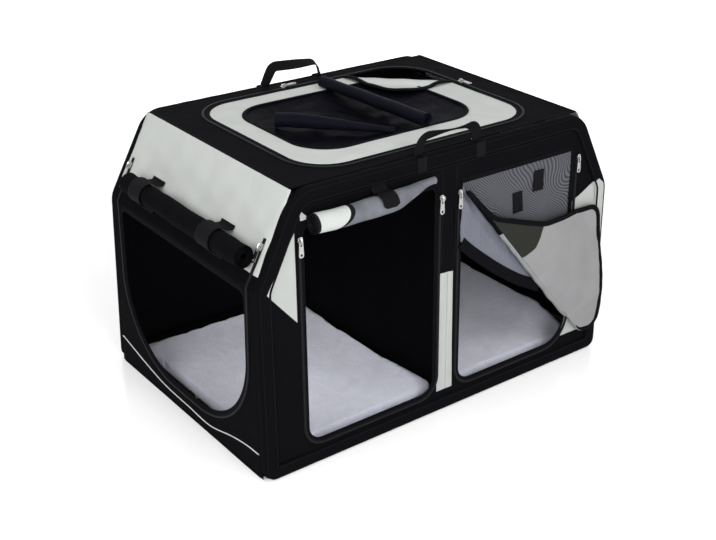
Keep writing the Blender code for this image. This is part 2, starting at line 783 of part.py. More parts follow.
def spiral(radius, sheet, turns):
    """Outline of a rolled sheet seen from its end, from the core to the free edge."""
    core = sheet * 1.2
    path = []
    count = 13 * turns
    for k in range(count + 1):
        angle = 2 * math.pi * turns * k / count
        r = core + (radius - sheet / 2 - core) * k / count
        path.append((r * math.cos(angle), r * math.sin(angle)))
    return strip(path, sheet / 2)[0]


def build_roll(name, stations, sheet, turns, look, group):
    """A rolled sheet lofted through stations (centre, radius share, turn) along it."""
    outline = spiral(ROLL_R, sheet, turns)
    work = bmesh.new()
    rings = []
    for i, (centre, share, twist) in enumerate(stations):
        after = stations[min(i + 1, len(stations) - 1)][0]
        before = stations[max(i - 1, 0)][0]
        along = (Vector(after) - Vector(before)).normalized()
        across = along.cross(Vector((0, 0, 1))).normalized()
        up = across.cross(along)
        ring = []
        for x, y in outline:
            u = share * (x * math.cos(twist) - y * math.sin(twist))
            v = share * (x * math.sin(twist) + y * math.cos(twist))
            ring.append(work.verts.new(Vector(centre) + across * u + up * v))
        rings.append(ring)
    for low, high in zip(rings, rings[1:]):
        for k in range(len(outline)):
            j = (k + 1) % len(outline)
            work.faces.new((low[k], low[j], high[j], high[k]))
    half = len(outline) // 2
    for ring in (rings[0], rings[-1]):
        for k in range(half - 1):
            j = len(outline) - 1 - k
            work.faces.new((ring[k], ring[k + 1], ring[j - 1], ring[j]))
    bmesh.ops.recalc_face_normals(work, faces=work.faces)
    mesh = bpy.data.meshes.new(name)
    work.to_mesh(mesh)
    work.free()
    mesh.shade_smooth()
    mesh.set_sharp_from_angle(angle=math.radians(50))
    return link(bpy.data.objects.new(name, mesh), Matrix.Identity(4), look, group)


def front_roll_lift():
    """How far the front roll's axis stands out of the face's outer plane."""
    return panel_lift() + CLOTH + GAP + ROLL_R


def build_rolls(group):
    """The rolled front left door, the rolled left end door and the hatch covers."""
    lift = front_roll_lift()
    left = FRONT @ Vector((FRONT_ROLL_LEFT, FRONT_ROLL_UP, lift))
    middle = FRONT @ Vector((FRONT_ROLL_WAIST, FRONT_ROLL_UP, lift))
    sunk = lift - ROLL_R * (1 - FRONT_ROLL_TIP)
    tip = FRONT @ Vector((FRONT_ROLL_RIGHT, FRONT_ROLL_UP + FRONT_ROLL_RISE, sunk))
    stations = [(left, 1.0, math.pi), (middle, 1.0, math.pi), (tip, FRONT_ROLL_TIP, math.pi)]
    build_roll("front_left_roll", stations, ROLL_SHEET, ROLL_TURNS, GREY_CLOTH, group)
    out = ROLL_R + GAP
    near = LEFT_SLOPE @ Vector((-END_ROLL_FRONT, ROLL_HANG, out))
    far = LEFT_SLOPE @ Vector((-END_ROLL_BACK, ROLL_HANG, out))
    stations = [(near, 1.0, -SLOPE_ANGLE), (far, 1.0, -SLOPE_ANGLE)]
    build_roll("left_end_roll", stations, ROLL_SHEET, ROLL_TURNS, BLACK_CLOTH, group)
    share, down = COVER_ROLL_R / ROLL_R, -math.pi / 2
    up = HEIGHT + GAP + COVER_ROLL_R
    stations = [((*COVER_ROLL_FRONT, up), share, down), ((*COVER_ROLL_BACK, up), share, down)]
    build_roll("hatch_cover_roll", stations, ROLL_SHEET * 1.3, 2, DARK_MESH, group)
    share = SIDE_ROLL_R / ROLL_R
    seat = HEIGHT - CLOTH / 2 + GAP
    near = (*SIDE_ROLL_FRONT, seat + SIDE_ROLL_R * SIDE_ROLL_TIP)
    far = (*SIDE_ROLL_BACK, seat + SIDE_ROLL_R)
    stations = [(near, share * SIDE_ROLL_TIP, down), (far, share, down)]
    build_roll("hatch_side_roll", stations, ROLL_SHEET * 1.3, 2, DARK_MESH, group)


def over_roll(radius, first, last, foot_end):
    """A strap's path over a roll: its feet on the cloth and an arc over the top.

    The roll's axis is the origin, across is the first number and outwards the second.
    """
    reach = radius + GAP + STRAP_THICK / 2
    seat = STRAP_THICK / 2 - radius
    turns = 12
    arc = [
        (reach * math.cos(a), reach * math.sin(a))
        for a in (math.radians(first + (last - first) * k / turns) for k in range(turns + 1))
    ]
    feet = [(reach + STRAP_FOOT, seat), (reach + STRAP_THICK, seat)]
    path = feet + arc
    if foot_end:
        path += [(-x, y) for x, y in reversed(feet)]
    return path


def build_straps(group):
    """The two straps over the end roll, and the hold tab over the front roll."""
    turned = LEFT_SLOPE @ Matrix.Translation((0, ROLL_HANG, ROLL_R + GAP)) @ ACROSS
    for word, y in (("front", -END_STRAP_Y), ("back", END_STRAP_Y)):
        loops = strip(over_roll(ROLL_R, -35, 215, True), STRAP_THICK / 2)
        lift = -y - END_STRAP_WIDE / 2
        name = f"end_strap_{word}"
        plate(name, loops, END_STRAP_WIDE, turned, BLACK_WEB, group, lift)
    seat = FRONT @ Matrix.Translation((0, FRONT_ROLL_UP, front_roll_lift())) @ ACROSS
    loops = strip(over_roll(ROLL_R, -35, 130, False), STRAP_THICK / 2)
    lift = HOLD_TAB_X - HOLD_TAB_WIDE / 2
    plate("front_hold_tab", loops, HOLD_TAB_WIDE, seat, BLACK_WEB, group, lift)


def crease_at(x):
    """The point of the folded corner's crease at a distance across the face."""
    fall = (CREASE_FOOT[1] - CREASE_TOP[1]) / (CREASE_FOOT[0] - CREASE_TOP[0])
    return x, CREASE_TOP[1] + fall * (x - CREASE_TOP[0])


def build_right_door(group, cutters):
    """The hanging part of the front right door, its tabs and the folded corner."""
    corners = inset(doorway(1), DOOR_CLEAR)
    left, right = corners[0][0], corners[1][0]
    lens = [(left, LENS_HEAD, 0), *LENS_CORNERS, (*crease_at(LENS_FOOT_X), 0)]
    hanging = rounded([*lens, (*crease_at(right), 0), *corners[2:]])
    name = "front_right_door"
    door = plate(name, [hanging], CLOTH, FRONT, GREY_CLOTH, group, panel_lift())
    tabs = []
    for k, (x, y) in enumerate(DOOR_TABS):
        half_x, half_y = DOOR_TAB_WIDE / 2, DOOR_TAB_LONG / 2
        tab = [
            (x - half_x, y - half_y),
            (x + half_x, y - half_y),
            (x + half_x, y + half_y),
            (x - half_x, y + half_y),
        ]
        lift = panel_lift() + CLOTH / 2
        thick = CLOTH / 2 + STRAP_THICK / 2
        tabs.append(plate(f"{name}_tab_{k}", [tab], thick, FRONT, BLACK_WEB, cutters, lift))
    join(door, tabs, cutters)
    build_flap(group, cutters)


def build_flap(group, cutters):
    """The door's corner, folded outwards over a round bend along the crease."""
    name = "front_right_flap"
    outline = rounded([(*CREASE_TOP, 0), (*CREASE_FOOT, 0), *FLAP_CORNERS])
    flap = plate(name, [outline], FLAP_THICK, FRONT, GREY_CLOTH, group, FLAP_LIFT)
    low = panel_lift() + CLOTH + GAP
    radius = (FLAP_LIFT + FLAP_THICK - low) / 2
    middle = radius - FLAP_THICK / 2
    arc = [
        (-middle * math.sin(angle), middle * math.cos(angle))
        for angle in (math.pi * k / 8 for k in range(9))
    ]
    section = strip([(FLAP_BEND_LEG, middle), *arc], FLAP_THICK / 2 - TRACK_STEP)
    foot, top = Vector(CREASE_FOOT), Vector(CREASE_TOP)
    down = (foot - top).normalized()
    place = FRONT @ Matrix(
        (
            (-down.y, 0, down.x, top.x),
            (down.x, 0, down.y, top.y),
            (0, 1, 0, low + radius),
            (0, 0, 0, 1),
        )
    )
    long = (top - foot).length - FLAP_BEND_END
    bend = plate(name + "_bend", section, long, place, GREY_CLOTH, cutters, FLAP_BEND_END / 2)
    join(flap, [bend], cutters)


def build_pad(name, side, group):
    """A floor pad: its sides are drawn in at the seams and its top is crowned."""
    near, far = CLOTH / 2 + PARTITION_GAP, PAD_OUTER
    half_x, half_y = (far - near) / 2, PAD_HALF_Y
    corners = [
        (-half_x, -half_y, PAD_CORNER),
        (half_x, -half_y, PAD_CORNER),
        (half_x, half_y, PAD_CORNER),
        (-half_x, half_y, PAD_CORNER),
    ]
    work = bmesh.new()
    rings = []
    shoulder = PAD_THICK - PAD_CROWN
    for up, draw, crown in PAD_RINGS:
        outline = rounded(inset(corners, draw * half_y), steps=4)
        z = CLOTH + GAP + shoulder * up + PAD_CROWN * crown
        rings.append([work.verts.new((x, y, z)) for x, y in outline])
    for low, high in zip(rings, rings[1:]):
        for k in range(len(low)):
            j = (k + 1) % len(low)
            work.faces.new((low[k], low[j], high[j], high[k]))
    work.faces.new(rings[0])
    work.faces.new(rings[-1])
    bmesh.ops.recalc_face_normals(work, faces=work.faces)
    mesh = bpy.data.meshes.new(name)
    work.to_mesh(mesh)
    work.free()
    mesh.shade_smooth()
    place = Matrix.Translation((side * (near + half_x), 0, 0))
    return link(bpy.data.objects.new(name, mesh), place, FLEECE, group)


def build_handle(name, side, group):
    """A flat webbing loop that stands on the top band, with its finger gap."""
    foot = -HANDLE_THICK / 2
    wide, rise = HANDLE_HALF, HANDLE_RISE
    inner, top = wide - HANDLE_WEB, rise - HANDLE_WEB
    lean = HANDLE_LEAN
    bend = HANDLE_BEND - HANDLE_WEB
    loop = rounded(
        [
            (wide, foot, 0),
            (wide - lean, rise, HANDLE_BEND),
            (lean - wide, rise, HANDLE_BEND),
            (-wide, foot, 0),
            (-inner, foot, 0),
            (lean - inner, top, bend),
            (inner - lean, top, bend),
            (inner, foot, 0),
        ]
    )
    axis = (0, side * face_depth(HEIGHT), HEIGHT + HANDLE_AXIS_UP)
    place = Matrix.Translation(axis) @ FACING
    return plate(name, [loop], HANDLE_THICK, place, BLACK_WEB, group, -HANDLE_THICK / 2)


def build_slider(name, where, group, cutters):
    """A zip slider with its bail. In its frame y runs along the track and z out of it."""
    half, long = SLIDER_WIDE / 2, SLIDER_LONG / 2
    nose = SLIDER_NOSE * half
    waist = rounded(
        [
            (-nose, -long, 0.002),
            (nose, -long, 0.002),
            (half, -long * 0.1, 0.001),
            (half, long, 0.003),
            (-half, long, 0.003),
            (-half, -long * 0.1, 0.001),
        ],
        steps=2,
    )
    body = plate(name, [waist], SLIDER_TALL, where, PALE_METAL, group, TRACK_THICK + GAP)
    top = slider_top()
    foot, crown = long * 0.7, long * 0.3
    arch = [(-foot, -BAIL_R), (-foot, BAIL_TALL * 0.8), (-crown, BAIL_TALL)]
    arch += [(-y, z) for y, z in reversed(arch)]
    route = [(0, y, top + z) for y, z in arch]
    bail = tube(name + "_bail", route, BAIL_R, resolution=2)
    bail.matrix_world = where
    join(body, [bail], cutters)
    return body


def slider_top():
    """Height of a slider's top over the surface that its track lies on."""
    return TRACK_THICK + GAP + SLIDER_TALL


def build_pull(name, where, group):
    """The pull tab of a slider, whose cross bar turns under the bail."""
    half = PULL_WIDE / 2
    bar = PULL_BAR / 2
    eye_end = -(SLIDER_LONG / 2 + PULL_EYE_CLEAR)
    tab = rounded(
        [
            (-half, bar - PULL_LONG, PULL_WIDE * 0.4),
            (half, bar - PULL_LONG, PULL_WIDE * 0.4),
            (half * 0.7, bar, 0.002),
            (-half * 0.7, bar, 0.002),
        ],
        steps=4,
    )
    eye_half = BAIL_R + PULL_EYE_SIDE
    eye = [(-eye_half, -bar), (eye_half, -bar), (eye_half, eye_end), (-eye_half, eye_end)]
    hole = circle(0, bar - PULL_LONG + PULL_WIDE / 2, PULL_HOLE, steps=12)
    lift = slider_top() + PULL_PIVOT - PULL_THICK / 2
    return plate(name, [tab, eye, hole], PULL_THICK, where, PALE_METAL, group, lift)


def slider_places():
    """Each slider: name, and the frame it stands in on its track."""
    beside = TRACK_MARGIN + TRACK_WIDE / 2
    face = FRONT @ Matrix.Translation((0, 0, panel_lift() + CLOTH + GAP))
    head = DOOR_HEAD - SLIDER_BELOW_HEAD
    places = []
    for k, x in enumerate((-DOOR_OUTER - beside, -DOOR_INNER + beside)):
        places.append((f"front_left_{k + 1}", face @ Matrix.Translation((x, head, 0))))
    for k, x in enumerate((DOOR_INNER - beside, DOOR_OUTER + beside)):
        places.append((f"front_right_{k + 1}", face @ Matrix.Translation((x, head, 0))))
    slope = LEFT_SLOPE @ Matrix.Translation((0, 0, GAP))
    end_x = END_DOOR_HALF + beside
    for k, x in enumerate((end_x, -end_x)):
        places.append((f"end_{k + 1}", slope @ Matrix.Translation((x, END_SLIDER_UP, 0))))
    roof = ROOF @ Matrix.Translation((0, 0, GAP))
    rear = HATCH_HALF_Y + HATCH_MARGIN + beside
    side = HATCH_HALF_X + HATCH_MARGIN + beside
    quarter = Matrix.Rotation(math.pi / 2, 4, "Z")
    rear_place = Matrix.Translation((HATCH_SLIDER_X, rear, 0))
    places.append(("hatch_1", roof @ rear_place @ quarter))
    places.append(("hatch_2", roof @ Matrix.Translation((side, HATCH_SLIDER_Y, 0))))
    return places


def main():
    """Build the crate."""
    clear_scene()
    group = new_collection("soft_pet_crate")
    cutters = new_collection("cutters")
    for word, where in (("front", FRONT), ("back", BACK)):
        build_hoop(word + "_hoop", where, group, cutters)
        build_sleeve(word + "_sleeve", where, group, cutters)
    for arm, x, pin_z, fold in pivot_places():
        build_arm(f"arm_{arm}_front", x, pin_z, fold, False, group, cutters)
        build_arm(f"arm_{arm}_rear", x, pin_z, fold, True, group, cutters)
    build_long_faces(group)
    build_front_zips(group)
    build_floor_and_roof(group)
    build_hatch(group)
    build_ends(group, cutters)
    build_rolls(group)
    build_straps(group)
    build_right_door(group, cutters)
    build_pad("pad_left", -1, group)
    build_pad("pad_right", 1, group)
    build_handle("front_handle", 1, group)
    build_handle("back_handle", -1, group)
    for name, where in slider_places():
        build_slider("slider_" + name, where, group, cutters)
        build_pull("pull_" + name, where, group)


main()
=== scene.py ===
"""Looks of the soft pet crate: cloth, nets, pads, webbing and zips round its folding steel frame."""

import math

import bmesh
import bpy
import numpy as np
from mathutils import Matrix, Vector


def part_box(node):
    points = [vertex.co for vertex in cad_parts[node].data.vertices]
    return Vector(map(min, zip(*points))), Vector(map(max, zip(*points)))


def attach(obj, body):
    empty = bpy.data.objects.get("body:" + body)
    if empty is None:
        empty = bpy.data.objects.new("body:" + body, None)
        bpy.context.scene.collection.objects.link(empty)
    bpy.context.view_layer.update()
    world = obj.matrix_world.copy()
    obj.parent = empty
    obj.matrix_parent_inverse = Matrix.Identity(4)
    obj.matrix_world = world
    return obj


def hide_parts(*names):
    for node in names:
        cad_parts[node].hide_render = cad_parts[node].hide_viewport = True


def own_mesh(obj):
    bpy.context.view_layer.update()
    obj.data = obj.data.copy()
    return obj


bl_info = {
    "name": "Soft pet crate",
    "version": (1, 0, 0),
    "blender": (4, 5, 0),
    "location": "3D View > Sidebar > Pet crate",
    "description": "Dresses the crate's folding frame in its cloth, nets, pads and zips",
    "category": "Object",
}

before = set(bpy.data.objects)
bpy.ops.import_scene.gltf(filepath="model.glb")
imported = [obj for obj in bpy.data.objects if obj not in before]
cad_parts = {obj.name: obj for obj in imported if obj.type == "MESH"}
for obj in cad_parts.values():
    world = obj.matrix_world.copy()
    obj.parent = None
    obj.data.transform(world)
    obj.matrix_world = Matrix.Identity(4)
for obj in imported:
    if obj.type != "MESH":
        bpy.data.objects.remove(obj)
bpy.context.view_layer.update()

# Sizes of the crate, in metres
LENGTH = float(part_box("floor_panel")[1][0] * 2 + 0.0006)
TOP_LENGTH = float(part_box("roof_panel")[1][0] * 2 + 0.0006)
HEIGHT = float(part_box("roof_panel")[1][2])
DEPTH = 0.600
LEAN = 0.024
SLOPE_START = HEIGHT - 0.173
SLEEVE_WIDE = 0.030
SLEEVE_THICK = 0.024
FOOT_BEND = 0.022
SHOULDER_BEND = 0.060
DOOR_INNER = 0.030
DOOR_OUTER = TOP_LENGTH / 2 - 0.013
DOOR_FOOT = 0.046
DOOR_HEAD = HEIGHT - 0.067
DOOR_CORNER = 0.036
RIGHT_DOOR_BEND = 0.062
END_HALF = DEPTH / 2 - 0.060
END_FOOT = 0.054
END_HEAD = SLOPE_START - 0.012
END_BEND = END_HALF - 0.050
HATCH_X = TOP_LENGTH / 2 - 0.081
HATCH_Y = DEPTH / 2 - 0.086
HATCH_CORNER = 0.085
WINDOW = (0.054 - HATCH_X, 0.068 - HATCH_Y, HATCH_X - 0.086, HATCH_Y - 0.056)
# Radius of the rolled front door, and radius and height up the slope of the rolled end door
ROLL_R = 0.0205
END_ROLL_R = ROLL_R * 1.12
END_ROLL_UP = 0.051

LEAN_ANGLE = math.atan2(LEAN, HEIGHT)
FACE_HEIGHT = math.hypot(HEIGHT, LEAN)
FACE_SLOPE = SLOPE_START / math.cos(LEAN_ANGLE)
SLOPE_ANGLE = math.atan2((LENGTH - TOP_LENGTH) / 2, HEIGHT - SLOPE_START)
SLOPE_LONG = math.hypot((LENGTH - TOP_LENGTH) / 2, HEIGHT - SLOPE_START)

TURN = Matrix.Rotation(math.pi, 4, "Z")
FRONT = Matrix.Translation((0, -DEPTH / 2, 0)) @ Matrix.Rotation(math.pi / 2 - LEAN_ANGLE, 4, "X")
BACK = TURN @ FRONT
LEFT_WALL = Matrix(((0, 0, -1, -LENGTH / 2), (-1, 0, 0, 0), (0, 1, 0, 0), (0, 0, 0, 1)))
WALL_TURN = Matrix(((0, 0, -1, 0), (-1, 0, 0, 0), (0, 1, 0, 0), (0, 0, 0, 1)))
LEFT_SLOPE = Matrix.Translation((-LENGTH / 2, 0, SLOPE_START))
LEFT_SLOPE = LEFT_SLOPE @ Matrix.Rotation(SLOPE_ANGLE, 4, "Y") @ WALL_TURN
RIGHT_WALL = TURN @ LEFT_WALL
RIGHT_SLOPE = TURN @ LEFT_SLOPE
ROOF = Matrix.Translation((0, 0, HEIGHT))
ENDS = (("left", LEFT_WALL, LEFT_SLOPE), ("right", RIGHT_WALL, RIGHT_SLOPE))
UP = (0, 0, 1)
# Tapes, as (width, thickness)
ZIP_TAPE = (0.0080, 0.0016)
SEAM_TAPE = (0.0046, 0.0012)
BINDING = {"wide": 0.012, "thick": 0.0030, "seat": False, "count": 16}
# How far the cloth of a long face lies behind the hoop's outer side
FACE_CLOTH = -0.005
# Height of the seam that runs along the top of each long face
HEADER_SEAM = 0.5415
# Length of the line round a hoop
HOOP_LONG = 2.9


# ---------------------------------------------------------------- settings


def length_of(name, text, default):
    """A length that a user may change, in metres."""
    return bpy.props.FloatProperty(
        name=name, description=text, default=default, min=0.0, subtype="DISTANCE", unit="LENGTH"
    )


def colour_of(name, text, default):
    """A colour that a user may change."""
    return bpy.props.FloatVectorProperty(
        name=name, description=text, default=default, size=3, min=0.0, max=1.0, subtype="COLOR"
    )


class CrateSizes(bpy.types.PropertyGroup):
    """Sizes of the cloth and its trim."""

    cloth: length_of("Cloth thickness", "Thickness of the coated polyester", 0.0012)
    net: length_of("Net thickness", "Thickness of the window nets", 0.0008)
    weave: length_of("Weave pitch", "Distance between the yarns of the cloth", 0.0009)
    wrinkle: length_of("Wrinkle depth", "How far the taut cloth waves out of its plane", 0.0011)
    pile: length_of("Pile length", "Depth of the fleece's surface", 0.0016)


class CrateColours(bpy.types.PropertyGroup):
    """Colours of the cloth, nets, pads and metal."""

    black: colour_of("Black cloth", "Walls, roof and hems", (0.0030, 0.0030, 0.0040))
    pale: colour_of("Pale cloth", "Slopes, hatch ring and front patches", (0.475, 0.492, 0.475))
    grey: colour_of("Grey cloth", "Inner side of the folded door", (0.228, 0.228, 0.232))
    haze: colour_of("Grey net", "Two layers of fine net over each other", (0.128, 0.132, 0.152))
    net: colour_of("Dark net", "One layer of net", (0.020, 0.020, 0.024))
    fleece: colour_of("Fleece", "Floor pads", (0.640, 0.650, 0.800))
    steel: colour_of("Tube", "Black coated steel tube", (0.030, 0.030, 0.032))
    metal: colour_of("Bright metal", "Zip sliders, pulls and snaps", (0.50, 0.50, 0.49))


def sizes():
    """The scene's size settings."""
    return bpy.context.scene.crate_sizes


def colours():
    """The scene's colour settings."""
    return bpy.context.scene.crate_colours


# ---------------------------------------------------------------- outlines and grids


def rounded(corners, steps):
    """Closed outline of corners (x, y, radius): each corner is an arc, centre + r (cos a, sin a)."""
    points = []
    for i, (x, y, radius) in enumerate(corners):
        here = np.array((x, y), float)
        before = np.array(corners[i - 1][:2]) - here
        after = np.array(corners[(i + 1) % len(corners)][:2]) - here
        before, after = before / np.hypot(*before), after / np.hypot(*after)
        if radius <= 0:
            points.append(here[None])
            continue
        half = math.acos(float(np.clip(before @ after, -1, 1))) / 2
        reach = radius / math.tan(half)
        start, end = here + before * reach, here + after * reach
        bisector = (before + after) / np.hypot(*(before + after))
        middle = here + bisector * radius / math.sin(half)
        first = math.atan2(*(start - middle)[::-1])
        turn = (math.atan2(*(end - middle)[::-1]) - first + math.pi) % (2 * math.pi) - math.pi
        a = first + turn * np.linspace(0, 1, steps + 1)
        points.append(middle + radius * np.stack((np.cos(a), np.sin(a)), -1))
    return np.concatenate(points)


def inset(corners, amount):
    """Corners moved inwards by an amount along their bisectors, with radii that follow."""
    moved = []
    for i, (x, y, radius) in enumerate(corners):
        here = np.array((x, y), float)
        into = here - np.array(corners[i - 1][:2])
        out = np.array(corners[(i + 1) % len(corners)][:2]) - here
        into, out = into / np.hypot(*into), out / np.hypot(*out)
        bisector = np.array((-into[1] - out[1], into[0] + out[0]))
        bisector = bisector / np.hypot(*bisector)
        share = float(bisector @ np.array((-into[1], into[0])))
        place = here + bisector * amount / share
        moved.append((place[0], place[1], max(radius - amount, 0.001) if radius > 0 else 0))
    return moved


def unit(vectors):
    """Vectors at a length of 1."""
    return vectors / np.maximum(np.sqrt((vectors**2).sum(-1, keepdims=True)), 1e-12)


def run_along(line):
    """Distance along a line to each of its points."""
    return np.concatenate(([0], np.cumsum(np.sqrt((np.diff(line, axis=0) ** 2).sum(1)))))


def even(points, count, closed=True):
    """The same line through evenly spaced points, by linear interpolation along its length."""
    line = np.concatenate((points, points[:1])) if closed else np.asarray(points, float)
    along = run_along(line)
    keep = np.concatenate(([True], np.diff(along) > 1e-9))
    wanted = np.linspace(0, along[-1], count)
    return np.stack([np.interp(wanted, along[keep], c[keep]) for c in line.T], -1)


def smooth_line(points, count):
    """A Catmull-Rom curve through points: each span is a cubic of its four neighbours."""
    p = np.asarray(points, float)
    spans = len(p) - 1
    p = np.concatenate((2 * p[:1] - p[1:2], p, 2 * p[-1:] - p[-2:-1]))
    t = np.linspace(0, spans, count)
    k = np.minimum(t.astype(int), spans - 1)
    f = (t - k)[:, None]
    a, b, c, d = p[k], p[k + 1], p[k + 2], p[k + 3]
    return 0.5 * (2 * b + (c - a) * f + (2 * a - 5 * b + 4 * c - d) * f**2 + (3 * b - a - 3 * c + d) * f**3)


def hit_outline(outline, centre, toward):
    """Where rays from a centre through points meet a convex outline: least positive root per edge."""
    a, b = outline, np.roll(outline, -1, 0)
    d = toward - centre
    edge = b - a
    cross = d[:, None, 0] * edge[None, :, 1] - d[:, None, 1] * edge[None, :, 0]
    cross = np.where(np.abs(cross) < 1e-12, 1e-12, cross)
    away = a[None] - centre
    t = (away[..., 0] * edge[None, :, 1] - away[..., 1] * edge[None, :, 0]) / cross
    s = (away[..., 0] * d[:, None, 1] - away[..., 1] * d[:, None, 0]) / cross
    good = (t > 0) & (s > -1e-6) & (s < 1 + 1e-6)
    t = np.where(good, t, np.inf).min(1)
    return centre + d * t[:, None]


def waves(x, y, seed, size):
    """A soft field from -1 to 1: the mean of sine waves of about one size in fixed directions."""
    rng, count = np.random.default_rng(seed), 7
    angle, phase = rng.uniform(0, 2 * np.pi, (2, count))
    k = 2 * np.pi / (size * rng.uniform(0.6, 1.7, count))
    x, y = (np.asarray(c, float)[..., None] for c in (x, y))
    return np.sin((x * np.cos(angle) + y * np.sin(angle)) * k + phase).sum(-1) / count * 1.8


def step(x, low, high):
    """A smooth step from 0 at low to 1 at high: 3t^2 - 2t^3."""
    t = np.clip((x - low) / (high - low), 0, 1)
    return t * t * (3 - 2 * t)


def placed(matrix, points):
    """Points (..., 3) of a face's own frame, in the crate's frame."""
    m = np.array(matrix)
    return points @ m[:3, :3].T + m[:3, 3]


def stack(*columns):
    """Coordinates as one array of points."""
    return np.stack(np.broadcast_arrays(*columns), -1).astype(float)


def ring_grid(inner, outer, rows, lift):
    """Flat cloth between two outlines of equal count: point = inner (1 - t) + outer t."""
    t = np.linspace(0, 1, rows)[:, None, None]
    flat = inner[None] * (1 - t) + outer[None] * t
    points = np.concatenate((flat, np.zeros(flat.shape[:2] + (1,))), -1)
    points[..., 2] = lift(flat[..., 0], flat[..., 1], t[..., 0])
    return points, flat


def sheet_grid(low, high, count, lift):
    """A flat rectangle of cloth as a grid: point = (x, y, lift(x, y))."""
    x, y = np.meshgrid(np.linspace(low[0], high[0], count[0]), np.linspace(low[1], high[1], count[1]))
    return stack(x, y, lift(x, y)), stack(x, y)


def carried(path, profile, side, up):
    """A profile (a, b) carried along a path: point = path + side a + up b.

    side and up are arrays with one vector per path point, or one vector for all.
    """
    side, up = np.broadcast_to(side, path.shape), np.broadcast_to(up, path.shape)
    a, b = profile[:, 0], profile[:, 1]
    points = path[:, None] + side[:, None] * a[None, :, None] + up[:, None] * b[None, :, None]
    return points, stack(run_along(path)[:, None], run_along(profile)[None, :])


def normals_in_plane(path, closed=True):
    """Unit vectors to the right of a flat path (x, y): its tangent turned by -90 degrees."""
    if closed:
        t = np.roll(path[:-1], -1, 0) - np.roll(path[:-1], 1, 0)
        t = np.concatenate((t, t[:1]))
    else:
        t = np.gradient(path, axis=0)
    t = unit(t)
    return stack(t[:, 1], -t[:, 0])


def band(path, heights, section, closed=False, inward=0.0):
    """A section carried along a path on a face, at heights over it, in the face's own frame."""
    side = normals_in_plane(path, closed)
    route = stack(*(path - side * inward).T, heights)
    return carried(route, section, stack(*side.T, 0), UP)


def oval(wide, thick, count, power=0.7, seat=False):
    """A closed flattened section: (w |cos|^p, t |sin|^p), or only its upper half on a seat."""
    a = np.linspace(0, np.pi if seat else 2 * np.pi, count + 1)
    c, s = np.cos(a), np.sin(a)
    x = np.sign(c) * np.abs(c) ** power * wide / 2
    y = np.sign(s) * np.abs(s) ** power * (thick if seat else thick / 2)
    return stack(x, y)


def vertex_places(mesh):
    """Places of a mesh's vertices."""
    points = np.empty(len(mesh.vertices) * 3)
    mesh.vertices.foreach_get("co", points)
    return points.reshape(-1, 3)


def cloth_mesh(name, grids, finishes, outward=None, merge=True):
    """One object from grids (points, uv, finish index): quads between rows and columns.

    outward is a direction that most faces should look along, or None for closed forms.
    """
    verts, quads, maps, picks = [], [], [], []
    start = 0
    for points, uv, pick in grids:
        m, n = points.shape[:2]
        ids = start + np.arange(m * n).reshape(m, n)
        quad = np.stack((ids[:-1, :-1], ids[:-1, 1:], ids[1:, 1:], ids[1:, :-1]), -1).reshape(-1, 4)
        verts.append(points.reshape(-1, 3))
        maps.append(uv.reshape(-1, 2))
        quads.append(quad)
        picks.append(np.full(len(quad), pick, np.int32))
        start += m * n
    verts, quads, maps = np.concatenate(verts), np.concatenate(quads), np.concatenate(maps)
    mesh = bpy.data.meshes.new(name)
    mesh.from_pydata(verts.tolist(), [], quads.tolist())
    layer = mesh.uv_layers.new(name="cloth")
    layer.data.foreach_set("uv", maps[quads.reshape(-1)].astype(np.float32).ravel())
    mesh.polygons.foreach_set("material_index", np.concatenate(picks))
    mesh.polygons.foreach_set("use_smooth", np.ones(len(quads), bool))
    work = bmesh.new()
    work.from_mesh(mesh)
    if merge:
        bmesh.ops.remove_doubles(work, verts=work.verts, dist=1e-6)
    bmesh.ops.dissolve_degenerate(work, edges=work.edges, dist=1e-7)
    if outward is None:
        bmesh.ops.recalc_face_normals(work, faces=work.faces)
    elif sum((f.normal * f.calc_area() for f in work.faces), Vector()).dot(Vector(outward)) < 0:
        bmesh.ops.reverse_faces(work, faces=work.faces)
    work.to_mesh(mesh)
    work.free()
    made = bpy.data.objects.new(name, mesh)
    bpy.context.scene.collection.objects.link(made)
    for finish in finishes:
        mesh.materials.append(finish)
    return made


def thicken(piece, thickness, offset=-1.0):
    """Give open cloth its thickness; -1 puts it behind the modelled surface."""
    solid = piece.modifiers.new("thickness", "SOLIDIFY")
    solid.thickness, solid.offset, solid.use_even_offset = thickness, offset, False


def fit(piece, body, replaced=(), fold=False):
    """Put a finished piece on its body and hide the nodes that it stands for."""
    if replaced:
        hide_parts(*replaced)
    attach(piece, body)
    if fold:
        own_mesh(piece)


# ---------------------------------------------------------------- finishes

# Lint on black cloth
LINT_COLOUR = (0.06, 0.06, 0.065)


def plug(tree, value, socket):
    """Feed a socket with another node's output or with a constant."""
    if isinstance(value, bpy.types.NodeSocket):
        tree.links.new(value, socket)
    else:
        socket.default_value = value


def node(tree, kind, values, **settings):
    """A shader node with its settings; each input takes a number or another node's output."""
    made = tree.nodes.new(kind)
    for key, value in settings.items():
        setattr(made, key, value)
    for key, value in values.items():
        plug(tree, value, made.inputs[key])
    return made


def calc(tree, operation, *values):
    """The output of a Math node."""
    return node(tree, "ShaderNodeMath", dict(enumerate(values)), operation=operation).outputs[0]


def times(tree, *values):
    """The product of two values."""
    return calc(tree, "MULTIPLY", *values)


def scaled(tree, *values):
    """A value times a second one, plus a third one."""
    return calc(tree, "MULTIPLY_ADD", *values)


def blend(tree, share, first, second):
    """A colour between two, by a share from 0 to 1."""
    made = node(tree, "ShaderNodeMix", {0: share}, data_type="RGBA")
    for key, value in ((6, first), (7, second)):
        plug(tree, value if isinstance(value, bpy.types.NodeSocket) else (*value, 1), made.inputs[key])
    return made.outputs[2]


